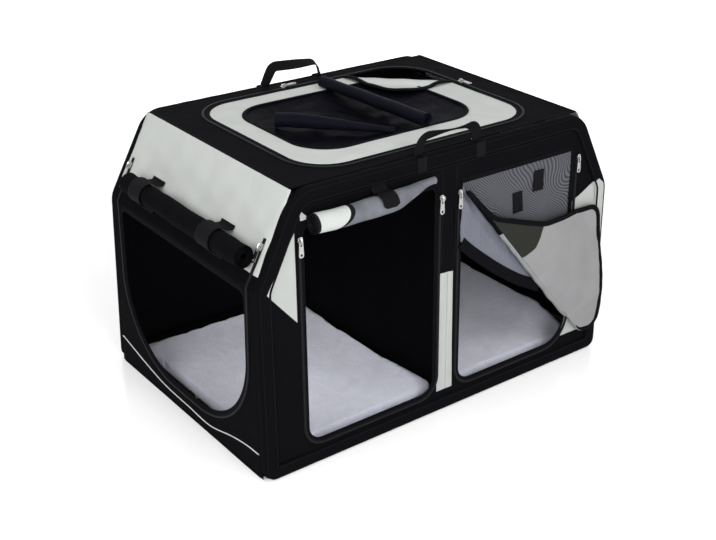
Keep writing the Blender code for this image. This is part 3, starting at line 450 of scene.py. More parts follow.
def ramp(tree, value, low, high):
    """A value mapped smoothly from low..high to 0..1."""
    values = {"Value": value, "From Min": low, "From Max": high}
    return node(tree, "ShaderNodeMapRange", values, interpolation_type="SMOOTHSTEP").outputs[0]


def noise(tree, place, scale, detail, **more):
    """Soft noise from 0 to 1 over a place."""
    values = {"Vector": place, "Scale": scale, "Detail": detail, **more}
    return node(tree, "ShaderNodeTexNoise", values).outputs[0]


def cells(tree, place, scale):
    """Distance to the middle of the nearest of many small cells."""
    return node(tree, "ShaderNodeTexVoronoi", {"Vector": place, "Scale": scale}).outputs["Distance"]


def axes(tree, vector):
    """The outputs X, Y and Z of a vector."""
    return node(tree, "ShaderNodeSeparateXYZ", {0: vector}).outputs


def tint(colour, share):
    """A colour times a share, up to white."""
    return [min(c * share, 1.0) for c in colour]


def new_group(name, vector, floats, *outputs):
    """An empty node group: a vector input, float inputs with their defaults, and float outputs."""
    group = bpy.data.node_groups.new(name, "ShaderNodeTree")
    group.interface.new_socket(name=vector, in_out="INPUT", socket_type="NodeSocketVector")
    for word, default in floats.items():
        socket = group.interface.new_socket(name=word, in_out="INPUT", socket_type="NodeSocketFloat")
        socket.default_value = default
    for word in outputs:
        group.interface.new_socket(name=word, in_out="OUTPUT", socket_type="NodeSocketFloat")
    return group, group.nodes.new("NodeGroupInput").outputs, group.nodes.new("NodeGroupOutput").inputs


def yarn_group():
    """Plain weave: the height is sin(pi u / p) sin(pi v / p), roughened by noise on each yarn."""
    group, given, made = new_group("Woven yarns", "Cloth", {"Pitch": 0.0009}, "Height", "Tone")
    split = axes(group, given["Cloth"])
    turns = calc(group, "DIVIDE", math.pi, given["Pitch"])
    across, up = (calc(group, "SINE", times(group, split[k], turns)) for k in (0, 1))
    weave = scaled(group, times(group, across, up), 0.5, 0.5)
    fine = noise(group, given["Cloth"], 900.0, 2.0)
    broad = noise(group, given["Cloth"], 14.0, 3.0)
    group.links.new(times(group, weave, fine), made["Height"])
    group.links.new(scaled(group, weave, 0.35, times(group, broad, 0.65)), made["Tone"])
    return group


def crease_group():
    """Soft creases: ridges of a stretched noise under a finer one, as cloth that was folded away shows."""
    group, given, made = new_group("Soft creases", "Place", {"Size": 9.0}, "Height")
    stretched = node(group, "ShaderNodeMapping", {"Vector": given["Place"], "Scale": (1.0, 0.8, 0.45)})
    wide = noise(group, stretched.outputs[0], given["Size"], 2.0, Distortion=0.6)
    small = noise(group, given["Place"], times(group, given["Size"], 4.0), 3.0)
    ridge = calc(group, "ABSOLUTE", calc(group, "SUBTRACT", wide, 0.5))
    group.links.new(scaled(group, small, 0.22, times(group, ridge, 1.6)), made["Height"])
    return group


def lint_group():
    """Lint and dust: small specks at the peaks of fine noise, and a film where broad noise is high."""
    group, given, made = new_group("Lint", "Place", {"Amount": 0.5}, "Mask")
    speck = ramp(group, noise(group, given["Place"], 520.0, 1.0), 0.66, 0.74)
    film = times(group, ramp(group, noise(group, given["Place"], 6.0, 2.0), 0.45, 0.75), 0.35)
    both = calc(group, "ADD", times(group, speck, 0.6), film)
    group.links.new(times(group, both, given["Amount"]), made["Mask"])
    return group


def inside_of(tree, place, corners):
    """How far a point (x, z) lies inside a straight-sided outline.

    For each side, n . (p - a) is how far the point lies inside it; the least of them counts.
    """
    least = None
    for (ax, az), (bx, bz) in zip(corners, corners[1:] + corners[:1]):
        long = math.hypot(bx - ax, bz - az)
        nx, nz = -(bz - az) / long, (bx - ax) / long
        inside = scaled(tree, place[2], nz, scaled(tree, place[0], nx, -(nx * ax + nz * az)))
        least = inside if least is None else calc(tree, "MINIMUM", least, inside)
    return least


# Patches of pale cloth on the front face: corners (x, z), anticlockwise
PALE_PATCHES = (
    [(-0.369, 0.317), (-0.369, 0.496), (-0.436, 0.394)],
    [(-0.356, 0.516), (-0.336, 0.516), (-0.356, 0.536)],
    [(0.345, 0.058), (0.400, 0.058), (0.470, 0.150), (0.470, 0.384), (0.431, 0.417), (0.345, 0.376)],
    [(-0.025, 0.046), (0.017, 0.046), (0.013, 0.314), (-0.024, 0.317)],
)
# How far the edge of a patch is blurred to each side
PATCH_BLUR = 0.0003


def patch_group():
    """The pale patches of the front face: where a point lies inside one of their outlines."""
    group, given, made = new_group("Front patches", "Place", {}, "Mask")
    place = axes(group, given["Place"])
    total = inside_of(group, place, PALE_PATCHES[0])
    for corners in PALE_PATCHES[1:]:
        total = calc(group, "MAXIMUM", total, inside_of(group, place, corners))
    front = calc(group, "LESS_THAN", place[1], -0.2)
    group.links.new(times(group, ramp(group, total, -PATCH_BLUR, PATCH_BLUR), front), made["Mask"])
    return group


def stitch_group():
    """Stitches along a seam: dashes where sin(2 pi u / length) is over a limit, near the line v = Line."""
    group, given, made = new_group("Stitches", "Cloth", {"Length": 0.0042, "Line": 0.003}, "Mask")
    split = axes(group, given["Cloth"])
    turns = calc(group, "DIVIDE", 2 * math.pi, given["Length"])
    dash = calc(group, "SINE", times(group, split[0], turns))
    off = calc(group, "ABSOLUTE", calc(group, "SUBTRACT", split[1], given["Line"]))
    near = calc(group, "SUBTRACT", 1.0, ramp(group, off, 0.0003, 0.0006))
    group.links.new(times(group, ramp(group, dash, -0.5, -0.2), near), made["Mask"])
    return group


def net_group():
    """Net: bars where either |sin(pi u / p)| or |sin(pi v / p)| is small, and holes between."""
    group, given, made = new_group("Net", "Cloth", {"Pitch": 0.0014}, "Bars")
    split = axes(group, given["Cloth"])
    turns = calc(group, "DIVIDE", math.pi, given["Pitch"])
    bars = []
    for k in (0, 1):
        wave = calc(group, "ABSOLUTE", calc(group, "SINE", times(group, split[k], turns)))
        bars.append(calc(group, "SUBTRACT", 1.0, wave))
    group.links.new(ramp(group, calc(group, "MAXIMUM", *bars), 0.35, 0.6), made["Bars"])
    return group


GROUPS = {}


def effect(tree, make, **values):
    """The outputs of an effect's group in a material, with its own values; made when first used."""
    if make not in GROUPS:
        GROUPS[make] = make()
    made = tree.nodes.new("ShaderNodeGroup")
    made.node_tree = GROUPS[make]
    for key, value in values.items():
        plug(tree, value, made.inputs[key])
    return made.outputs


def once(name):
    """Build a finish under this name, or take the one that is there."""

    def wrap(build):
        return lambda: bpy.data.materials.get(name) or build(name)

    return wrap


def new_finish(name, **constants):
    """(material, tree, Principled shader, object place, cloth map) with constants on its sockets."""
    material = bpy.data.materials.new(name)
    material.use_nodes = True
    tree = material.node_tree
    shader = tree.nodes["Principled BSDF"]
    for key, value in constants.items():
        shader.inputs[key.replace("_", " ")].default_value = value
    places = tree.nodes.new("ShaderNodeTexCoord").outputs
    return material, tree, shader, places["Object"], places["UV"]


def finished(material, shader, shade, rough, height):
    """The material with a colour, a roughness and a relief in metres wired into its shader."""
    tree = material.node_tree
    bump = node(tree, "ShaderNodeBump", {"Height": height, "Distance": 1.0, "Strength": 1.0})
    for value, key in ((shade, "Base Color"), (rough, "Roughness"), (bump.outputs[0], "Normal")):
        tree.links.new(value, shader.inputs[key])
    return material


def cloth_finish(
    name, colour, second=None, mask=None, spread=(0.80, 1.14), crease=0.0022, rough=0.78, lint=0.0
):
    """Coated polyester: yarn tone and relief, soft creases and lint, in one or two colours."""
    if name in bpy.data.materials:
        return bpy.data.materials[name]
    material, tree, shader, place, cloth = new_finish(name, Specular_IOR_Level=0.02, Sheen_Weight=0.0)
    yarns = effect(tree, yarn_group, Cloth=cloth, Pitch=sizes().weave)
    creases = effect(tree, crease_group, Place=place, Size=9.0)
    shade = blend(tree, yarns["Tone"], *(tint(colour, share) for share in spread))
    if second is not None:
        other = blend(tree, yarns["Tone"], tint(second, 0.93), tint(second, 1.05))
        shade = blend(tree, mask(tree, place, cloth), shade, other)
    if lint:
        shade = blend(tree, effect(tree, lint_group, Place=place, Amount=lint)[0], shade, LINT_COLOUR)
    height = scaled(tree, creases[0], crease, times(tree, yarns["Height"], 0.00016))
    return finished(material, shader, shade, scaled(tree, yarns["Tone"], 0.16, rough - 0.08), height)


def black_cloth():
    """The black walls, roof and hems."""
    return cloth_finish("black_polyester", colours().black, lint=0.025)


def patched_cloth():
    """Black front cloth with its pale patches, which are painted a shade darker than the pale cloth
    elsewhere.
    """

    def mask(tree, place, cloth):
        return effect(tree, patch_group, Place=place)[0]

    # Painted shade: the patches take the pale cloth at 0.76, a shaded copy of the slopes' and hatch ring's
    # pale
    return cloth_finish("patched_cloth", colours().black, tint(colours().pale, 0.76), mask, lint=0.02)


def pale_cloth():
    """The pale hatch ring."""
    return cloth_finish("pale_polyester", colours().pale, spread=(0.93, 1.05), crease=0.0030, rough=0.82)


def slope_cloth():
    """The pale slopes, with a black band along their lower edge: painted shade where the dark doorway opening
    shows under the rolled door.
    """
    # Painted shade: below this height the slope is black, in place of the dark doorway opening
    opening_shade_top = SLOPE_START + 0.0225

    def mask(tree, place, cloth):
        return ramp(tree, axes(tree, place)[2], opening_shade_top, opening_shade_top + 0.0004)

    return cloth_finish("slope_cloth", colours().black, colours().pale, mask, crease=0.0030, rough=0.82)


@once("binding_tape")
def binding_cloth(name):
    """Folded tape that binds a cut edge: tight ribs across, with a line of stitches."""
    material, tree, shader, place, cloth = new_finish(name, Specular_IOR_Level=0.02)
    ribs = calc(tree, "SINE", times(tree, axes(tree, cloth)[0], 2 * math.pi / 0.0011))
    sewn = effect(tree, stitch_group, Cloth=cloth, Line=0.0042)[0]
    black = colours().black
    shade = blend(tree, scaled(tree, ribs, 0.25, 0.5), tint(black, 0.7), tint(black, 1.6))
    shade = blend(tree, times(tree, sewn, 0.5), shade, (0.006, 0.006, 0.007))
    height = scaled(tree, noise(tree, place, 70.0, 2.0), 0.0012, times(tree, ribs, 0.00008))
    height = scaled(tree, sewn, -0.0002, height)
    return finished(material, shader, shade, scaled(tree, ribs, 0.06, 0.66), height)


@once("woven_webbing")
def webbing(name):
    """Woven strap: slanting ribs that meet in the middle, crossed by the yarns that run along it."""
    material, tree, shader, place, cloth = new_finish(name, Specular_IOR_Level=0.04)
    run, across = axes(tree, cloth)[:2]
    slant = calc(tree, "ABSOLUTE", calc(tree, "SUBTRACT", across, 0.011))
    ribs = calc(tree, "SINE", times(tree, scaled(tree, slant, 1.2, run), 2 * math.pi / 0.0024))
    yarn = calc(tree, "SINE", times(tree, across, 2 * math.pi / 0.0013))
    tone = scaled(tree, times(tree, ribs, yarn), 0.4, 0.5)
    shade = blend(tree, tone, (0.0028, 0.0028, 0.0036), (0.0070, 0.0070, 0.0085))
    shade = blend(tree, effect(tree, lint_group, Place=place, Amount=0.015)[0], shade, LINT_COLOUR)
    return finished(material, shader, shade, scaled(tree, tone, 0.2, 0.52), times(tree, tone, 0.00035))


@once("fleece_pile")
def fleece(name):
    """Short pile: fibres, tufts and soft clumps, with a faint drift of colour."""
    shine = {"Specular_IOR_Level": 0.15, "Sheen_Weight": 0.45, "Sheen_Roughness": 0.7}
    material, tree, shader, place, _ = new_finish(name, **shine)
    fibres = noise(tree, place, 700.0, 3.0)
    tufts = cells(tree, place, 190.0)
    drift = noise(tree, place, 26.0, 4.0, Distortion=0.8)
    tone = scaled(tree, drift, 0.55, times(tree, fibres, 0.45))
    colour, pile = colours().fleece, sizes().pile
    shade = blend(tree, tone, tint(colour, 0.62), tint(colour, 1.36))
    shade = blend(tree, times(tree, ramp(tree, tufts, 0.25, 0.75), 0.10), shade, tint(colour, 0.55))
    shade = blend(tree, times(tree, noise(tree, place, 5.0, 2.0), 0.25), shade, (0.74, 0.75, 0.86))
    height = scaled(tree, tufts, -pile * 0.35, times(tree, fibres, pile * 0.5))
    height = scaled(tree, drift, pile * 1.6, height)
    return finished(material, shader, shade, scaled(tree, tone, 0.1, 0.86), height)


def dark_net(name="dark_net", colour=None, gloss=0.38, see=0.55, shine=0.03):
    """One layer of black net: glossy bars and holes that the inside shows through."""
    if name in bpy.data.materials:
        return bpy.data.materials[name]
    material, tree, shader, place, cloth = new_finish(name, Specular_IOR_Level=shine)
    colour = colour or colours().net
    bars = effect(tree, net_group, Cloth=cloth, Pitch=0.0016)[0]
    soft = noise(tree, place, 18.0, 2.0)
    shade = blend(tree, soft, tint(colour, 0.6), tint(colour, 1.5))
    tree.links.new(scaled(tree, bars, see, 1.0 - see), shader.inputs["Alpha"])
    creases = effect(tree, crease_group, Place=place, Size=11.0)[0]
    height = scaled(tree, bars, 0.00015, times(tree, creases, 0.0035))
    return finished(material, shader, shade, scaled(tree, soft, 0.2, gloss - 0.1), height)


def haze_net(name="haze_net", colour=None, contrast=0.85, period=0.0042, bend=130.0, way="DIAGONAL"):
    """Two nets over each other: the stripes where their bars fall in and out of step.

    The stripes are sin(2 pi x / period + bend noise(p)), and fine bars lie over them.
    """
    if name in bpy.data.materials:
        return bpy.data.materials[name]
    material, tree, shader, place, cloth = new_finish(name, Specular_IOR_Level=0.12, Sheen_Weight=0.05)
    colour = colour or tint(colours().haze, 0.62)
    values = {"Vector": place, "Scale": 0.314 / period, "Distortion": bend}
    values.update({"Detail": 1.5, "Detail Scale": 0.07, "Detail Roughness": 0.45})
    stripes = node(tree, "ShaderNodeTexWave", values, wave_type="BANDS", bands_direction=way)
    bars = effect(tree, net_group, Cloth=cloth, Pitch=0.0015)[0]
    broad = noise(tree, place, 9.0, 2.0)
    shade = blend(tree, stripes.outputs[1], tint(colour, 1 - contrast), tint(colour, 1.35))
    shade = blend(tree, times(tree, broad, 0.35), shade, colour)
    shade = blend(tree, times(tree, bars, 0.16), shade, tint(colour, 0.4))
    creases = effect(tree, crease_group, Place=place, Size=8.0)[0]
    height = scaled(tree, bars, 0.00012, times(tree, creases, 0.004))
    return finished(material, shader, shade, scaled(tree, broad, 0.15, 0.62), height)


@once("zip_teeth")
def zip_finish(name):
    """Zip: plastic teeth down the middle of a woven tape, from the tape's own map."""
    material, tree, shader, _, cloth = new_finish(name, Specular_IOR_Level=0.04)
    run, across = axes(tree, cloth)[:2]
    tape_middle, tooth_long = 0.0040, 0.0020
    off = calc(tree, "ABSOLUTE", calc(tree, "SUBTRACT", across, tape_middle))
    middle = calc(tree, "SUBTRACT", 1.0, ramp(tree, off, 0.0016, 0.0019))
    side = calc(tree, "GREATER_THAN", across, tape_middle)
    run = scaled(tree, side, tooth_long / 2, run)
    tooth = ramp(tree, calc(tree, "SINE", times(tree, run, 2 * math.pi / tooth_long)), -0.4, 0.3)
    teeth = times(tree, tooth, middle)
    shade = blend(tree, teeth, (0.006, 0.006, 0.007), (0.020, 0.020, 0.022))
    return finished(material, shader, shade, scaled(tree, middle, -0.38, 0.75), times(tree, teeth, 0.0006))


@once("seam")
def seam_finish(name):
    """A sewn seam: a fold with a line of stitches along its middle."""
    material, tree, shader, _, cloth = new_finish(name, Specular_IOR_Level=0.03)
    sewn = effect(tree, stitch_group, Cloth=cloth, Line=0.0022)[0]
    yarns = effect(tree, yarn_group, Cloth=cloth)["Tone"]
    shade = blend(tree, yarns, tint(colours().black, 0.8), tint(colours().black, 1.5))
    shade = blend(tree, sewn, shade, (0.007, 0.007, 0.008))
    return finished(material, shader, shade, scaled(tree, yarns, 0.1, 0.68), times(tree, sewn, 0.0003))


@once("reflective_cord")
def piping_finish(name):
    """Reflective cord: fine glass beads, brighter and smoother than the cloth."""
    material, tree, shader, place, _ = new_finish(name, Specular_IOR_Level=0.6)
    beads = cells(tree, place, 2600.0)
    shade = blend(tree, beads, (0.82, 0.82, 0.80), (0.50, 0.50, 0.50))
    return finished(material, shader, shade, scaled(tree, beads, 0.3, 0.3), times(tree, beads, -0.0002))


def metal_finish(name, colour, rough, grain, wear=0.0):
    """Metal: fine grain in the roughness, and dulled spots where it is handled."""
    if name in bpy.data.materials:
        return bpy.data.materials[name]
    material, tree, shader, place, _ = new_finish(name, Metallic=1.0)
    fine = noise(tree, place, grain, 3.0)
    dull = times(tree, ramp(tree, noise(tree, place, 40.0, 3.0), 0.5, 0.7), wear)
    shade = blend(tree, dull, colour, tint(colour, 0.55))
    level = calc(tree, "ADD", scaled(tree, fine, 0.14, rough - 0.07), times(tree, dull, 0.2))
    return finished(material, shader, shade, level, times(tree, fine, 0.00005))


# ---------------------------------------------------------------- shapes of the crate's pieces


def hoop_corners():
    """Outer outline of a long face in its own frame, anticlockwise from the lower left."""
    foot, top = LENGTH / 2, TOP_LENGTH / 2
    return [
        (-foot, 0, FOOT_BEND),
        (foot, 0, FOOT_BEND),
        (foot, FACE_SLOPE, SHOULDER_BEND),
        (top, FACE_HEIGHT, SHOULDER_BEND),
        (-top, FACE_HEIGHT, SHOULDER_BEND),
        (-foot, FACE_SLOPE, SHOULDER_BEND),
    ]


def doorway(side):
    """Corners of a front doorway, anticlockwise, on the left (-1) or the right (1)."""
    left, right = sorted((side * DOOR_INNER, side * DOOR_OUTER))
    bend = RIGHT_DOOR_BEND if side > 0 else DOOR_CORNER
    return [
        (left, DOOR_FOOT, DOOR_CORNER),
        (right, DOOR_FOOT, bend),
        (right, DOOR_HEAD, DOOR_CORNER / 2),
        (left, DOOR_HEAD, DOOR_CORNER / 2),
    ]


def end_doorway():
    """Corners of an end doorway, with wide round lower corners."""
    return [
        (-END_HALF, END_FOOT, END_BEND),
        (END_HALF, END_FOOT, END_BEND),
        (END_HALF, END_HEAD, 0.02),
        (-END_HALF, END_HEAD, 0.02),
    ]


def hatch_corners(grow=0.0):
    """Corners of the hatch, grown by a margin."""
    x, y, r = HATCH_X + grow, HATCH_Y + grow, HATCH_CORNER + grow
    return [(-x, -y, r), (x, -y, r), (x, y, r), (-x, y, r)]


def window_corners():
    """Corners of the window in the hatch."""
    left, front, right, back = WINDOW
    return [(left, front, 0.080), (right, front, 0.080), (right, back, 0.092), (left, back, 0.080)]


def between(inner, outer, centre, rows, lift):
    """Cloth between two convex outlines, met by the same rays from a centre so that corners stay sharp."""
    centre = np.array(centre, float)
    both = np.concatenate((inner, outer)) - centre
    more_rays = np.linspace(-np.pi, np.pi, 90)
    angle = np.unique(np.round(np.concatenate((np.arctan2(both[:, 1], both[:, 0]), more_rays)), 5))
    angle = angle[np.concatenate(([True], np.diff(angle) > 2e-4))]
    toward = centre + stack(np.cos(angle), np.sin(angle))
    near, far = (hit_outline(outline, centre, toward) for outline in (inner, outer))
    return ring_grid(np.concatenate((near, near[:1])), np.concatenate((far, far[:1])), rows, lift)


def fan(outline, centre, rows, lift):
    """Cloth inside an outline: point = centre (1 - r) + outline r, with r from 0 to 1."""
    edge = np.concatenate((outline, outline[:1]))
    middle = np.broadcast_to(np.array(centre, float), edge.shape)
    return ring_grid(middle, edge, rows, lift)


def half_outline(outline, side):
    """The half of a long face's outline on one side of its middle, in order round its own centre."""
    kept = outline[outline[:, 0] * side > 1e-6]
    ends = np.array(((0, outline[:, 1].min()), (0, outline[:, 1].max())))
    kept = np.concatenate((kept, ends))
    off = kept - kept.mean(0)
    return kept[np.argsort(np.arctan2(off[:, 1], off[:, 0]))]


def trim(path, matrix, lift, wide, thick, closed=True, count=10, seat=True):
    """A grid for a flat tape along a path on a face: a flattened section, or its upper half on a seat."""
    points, uv = band(path, lift, oval(wide, thick, count, 0.7, seat), closed)
    return placed(matrix, points), uv, 0


def hem(matrix, seed):
    """A hoop's hem: a rounded block section carried round the hoop, drawn in where the cloth puckers."""
    path = even(rounded(inset(hoop_corners(), SLEEVE_WIDE / 2), 16), 560)
    side = normals_in_plane(path)
    profile = oval(SLEEVE_WIDE, SLEEVE_THICK, 36, 0.60)
    turn = np.abs(np.gradient(np.unwrap(np.arctan2(side[:, 1], side[:, 0]))))
    turn = np.convolve(np.concatenate((turn[-9:], turn, turn[:9])), np.ones(19) / 19, "valid")
    turn = turn / turn.max()
    along = np.linspace(0, 1, len(path)) * HOOP_LONG
    around = np.linspace(0, 1, len(profile))
    loop = 2 * np.pi * along / HOOP_LONG
    rough = waves(0.46 * np.cos(loop)[:, None], 0.46 * np.sin(loop)[:, None] + 0 * around, seed, 0.05)
    fold = np.sin(loop * 130)[:, None] * np.sin(np.pi * 2 * around) ** 2
    swell = 1 + 0.020 * rough - 0.035 * turn[:, None] * (0.5 + 0.5 * fold)
    offset_a, offset_b = profile[:, 0] * swell, profile[:, 1] * swell
    x, y = (path[:, None, k] + side[:, None, k] * offset_a for k in (0, 1))
    points = stack(x, y, -SLEEVE_THICK / 2 + offset_b)
    return placed(matrix, points), stack(along[:, None], run_along(profile)[None, :]), 0


def wide_at(outline, heights):
    """Half the width of an outline at heights, from its right-hand side."""
    right = outline[outline[:, 0] > 0]
    order = np.argsort(right[:, 1])
    return np.interp(heights, right[order, 1], right[order, 0])


def rolled(line, radius, turns, core, seed, twist, crease):
    """A rolled sheet: r = core + (R - core) a / (2 pi turns), carried along the roll's line.

    The outer turns wave a little more than the inner ones. The free edge ends at the angle twist.
    """
    along = unit(np.gradient(line, axis=0))
    across = unit(np.cross(along, (0.0, 0.0, 1.0)))
    up = np.cross(across, along)
    turn_steps = 44
    a = np.linspace(0, 2 * np.pi * turns, turn_steps * turns)
    share = a / a[-1]
    run = run_along(line)
    reach = core + (1 - core) * share
    wave = waves(run[:, None], share[None, :] * 2 * np.pi * turns * 0.02, seed, 0.055)
    r = radius[:, None] * reach[None, :] + crease * wave * share[None, :] ** 4
    c, s = np.cos(a + twist), np.sin(a + twist)
    points = line[:, None] + across[:, None] * (r * c)[..., None] + up[:, None] * (r * s)[..., None]
    length = np.concatenate(([0], np.cumsum(np.diff(a) * reach[1:] * float(radius.mean()))))
    return points, stack(run[:, None], length[None, :])


def flat_size(uv):
    """Flat size of a rolled sheet, from the far corner of its map."""
    return float(uv[-1, 0, 0]), float(uv[0, -1, 1])


def over_roll(radius, first, last, gap, foot, foot_end):
    """A strap's path over a roll whose axis is the origin: (up the cloth, out of it)."""
    reach = radius + gap
    a = np.radians(np.linspace(first, last, 40))
    arc = stack(reach * np.cos(a), reach * np.sin(a))
    seat = 0.001 - radius
    feet = np.array(((reach + foot, seat), (reach + 0.004, seat), (reach + 0.001, seat + 0.003)))
    path = np.concatenate((feet, arc))
    if foot_end:
        path = np.concatenate((path, (feet * (-1, 1))[::-1]))
    return smooth_line(even(path, 40, closed=False), 90)


# ---------------------------------------------------------------- operators


class DressPiece:
    """What every operator of the crate shares."""

    bl_options = {"REGISTER", "UNDO"}


class CRATE_OT_hems(DressPiece, bpy.types.Operator):
    """Wrap the two hoops in their cloth hems, with a seam along each."""

    bl_idname = "crate.hems"
    bl_label = "Hoop hems"

    def execute(self, context):
        # How far the hem's two seams lie inside its outer edge
        seam_in, seam_out = SLEEVE_WIDE - 0.0040, 0.0042
        for word, matrix, finish, seed in (
            ("front", FRONT, patched_cloth(), 3),
            ("back", BACK, black_cloth(), 5),
        ):
            piece = cloth_mesh(word + "_hem", [hem(matrix, seed)], [finish])
            fit(piece, word + "_frame", [word + "_sleeve"])
            inner, outer = (even(rounded(inset(hoop_corners(), by), 14), 420) for by in (seam_in, seam_out))
            seams = [
                trim(inner, matrix, -0.0006, 0.0044, 0.0010),
                trim(outer, matrix, -0.0010, 0.0030, 0.0009),
            ]
            piece = cloth_mesh(word + "_hem_seams", seams, [seam_finish()], placed_way(matrix))
            fit(piece, word + "_frame")
        return {"FINISHED"}


def placed_way(matrix):
    """The direction that a face looks along."""
    return tuple(np.array(matrix)[:3, 2])


class CRATE_OT_long_faces(DressPiece, bpy.types.Operator):
    """Stretch the cloth of the two long faces, with the front's doorways, bindings and header seam."""

    bl_idname = "crate.long_faces"
    bl_label = "Long faces"

    def execute(self, context):
        edge = rounded(inset(hoop_corners(), SLEEVE_WIDE - 0.0015), 14)
        grids, bound = [], []
        for side in (-1, 1):
            hole = even(rounded(doorway(side), 12), 200)[:-1]

            def lift(x, y, t):
                ripple = waves(x, y * 0.6, 21 + side, 0.11) * sizes().wrinkle
                return FACE_CLOTH + ripple * step(t, 0.10, 0.5) * step(1 - t, 0.0, 0.3)

            centre = (side * (DOOR_INNER + DOOR_OUTER) / 2, (DOOR_FOOT + DOOR_HEAD) / 2)
            points, uv = between(hole, half_outline(edge, side), centre, 12, lift)
            grids.append((placed(FRONT, points), uv, 0))
            loop = even(rounded(doorway(side), 12), 260)
            bound.append(trim(loop, FRONT, -0.0068, **BINDING))
        piece = cloth_mesh("front_cloth", grids, [patched_cloth()], placed_way(FRONT))
        thicken(piece, sizes().cloth)
        fit(piece, "front_frame", ["front_panel"])
        piece = cloth_mesh("front_doorway_bindings", bound, [binding_cloth()])
        fit(piece, "front_frame")
        x = np.linspace(-0.340, 0.340, 160)
        header = stack(x, HEADER_SEAM + 0.0006 * waves(x, x, 4, 0.2))
        post = stack(0, np.linspace(0.335, 0.538, 90))
        seams = [
            trim(header, FRONT, FACE_CLOTH, *SEAM_TAPE, closed=False),
            trim(post + (0.018, 0), FRONT, FACE_CLOTH, 0.0040, 0.0010, closed=False),
            trim(post - (0.018, 0), FRONT, FACE_CLOTH, 0.0040, 0.0010, closed=False),
        ]
        piece = cloth_mesh("front_seams", seams, [seam_finish()], placed_way(FRONT))
        fit(piece, "front_frame")
        t = np.linspace(edge[:, 1].min(), edge[:, 1].max(), 60)
        s = np.linspace(-1, 1, 90)
        x, y = s[None, :] * wide_at(edge, t)[:, None], np.broadcast_to(t[:, None], (60, 90))
        taper = step(1 - np.abs(s), 0, 0.25)[None, :] * np.sin(np.pi * np.linspace(0, 1, 60))[:, None]
        z = FACE_CLOTH + 1.6 * sizes().wrinkle * waves(x * 0.7, y, 31, 0.16) * taper
        grid = (placed(BACK, stack(x, y, z)), stack(x, y), 0)
        piece = cloth_mesh("back_cloth", [grid], [black_cloth()], placed_way(BACK))
        thicken(piece, sizes().cloth)
        fit(piece, "back_frame", ["back_panel"])
        seams = []
        for half, high in ((0.345, HEADER_SEAM), (0.424, 0.0480)):
            line = stack(np.linspace(-half, half, 160), high)
            seams.append(trim(line, BACK, FACE_CLOTH, *SEAM_TAPE, closed=False))
        piece = cloth_mesh("back_seams", seams, [seam_finish()], placed_way(BACK))
        fit(piece, "back_frame")
        return {"FINISHED"}


class CRATE_OT_zips(DressPiece, bpy.types.Operator):
    """Run a zip beside each doorway and round the hatch."""

    bl_idname = "crate.zips"
    bl_label = "Zip tracks"

    def execute(self, context):
        for side, word in ((-1, "left"), (1, "right")):
            grown = [(x, y, r + 0.004) for x, y, r in inset(doorway(side), -0.005)]
            corner_points = 13
            line = rounded(grown, corner_points - 1)
            # Down from the upper left corner, along the foot and up to the upper right corner
            line = np.concatenate((line[-1:], line[: 2 * corner_points + 1]))
            line = even(line, 420, closed=False)
            tape = trim(line, FRONT, -0.0047, *ZIP_TAPE, closed=False)
            piece = cloth_mesh(f"front_{word}_teeth", [tape], [zip_finish()], placed_way(FRONT))
            fit(piece, "front_frame", [f"front_{word}_zip"])
        for word, wall, slope in ENDS:
            grown = inset(end_doorway(), -0.006)
            foot = even(rounded(grown, 20)[: 2 * (20 + 1)], 300, closed=False)
            x = abs(float(foot[0][0]))
            grids = [trim(foot, wall, 0.0004, *ZIP_TAPE, closed=False)]
            for sign in (-1, 1):
                high = np.linspace(float(foot[-1][1]) - 0.001, SLOPE_START, 20)
                for place, rise in ((wall, high), (slope, np.linspace(-0.0004, 0.095, 60))):
                    line = stack(sign * x, rise)
                    grids.append(trim(line, place, 0.0004, *ZIP_TAPE, closed=False))
            piece = cloth_mesh(f"{word}_end_teeth", grids, [zip_finish()], placed_way(wall))
            fit(piece, "front_frame", [f"{word}_end_zip"], fold=True)
        loop = even(rounded(hatch_corners(0.010), 20), 520)
        tape = trim(loop, ROOF, 0.0003, 0.0085, 0.0016)
        piece = cloth_mesh("hatch_teeth", [tape], [zip_finish()], UP)
        fit(piece, "front_frame", ["hatch_zip"], fold=True)
        return {"FINISHED"}


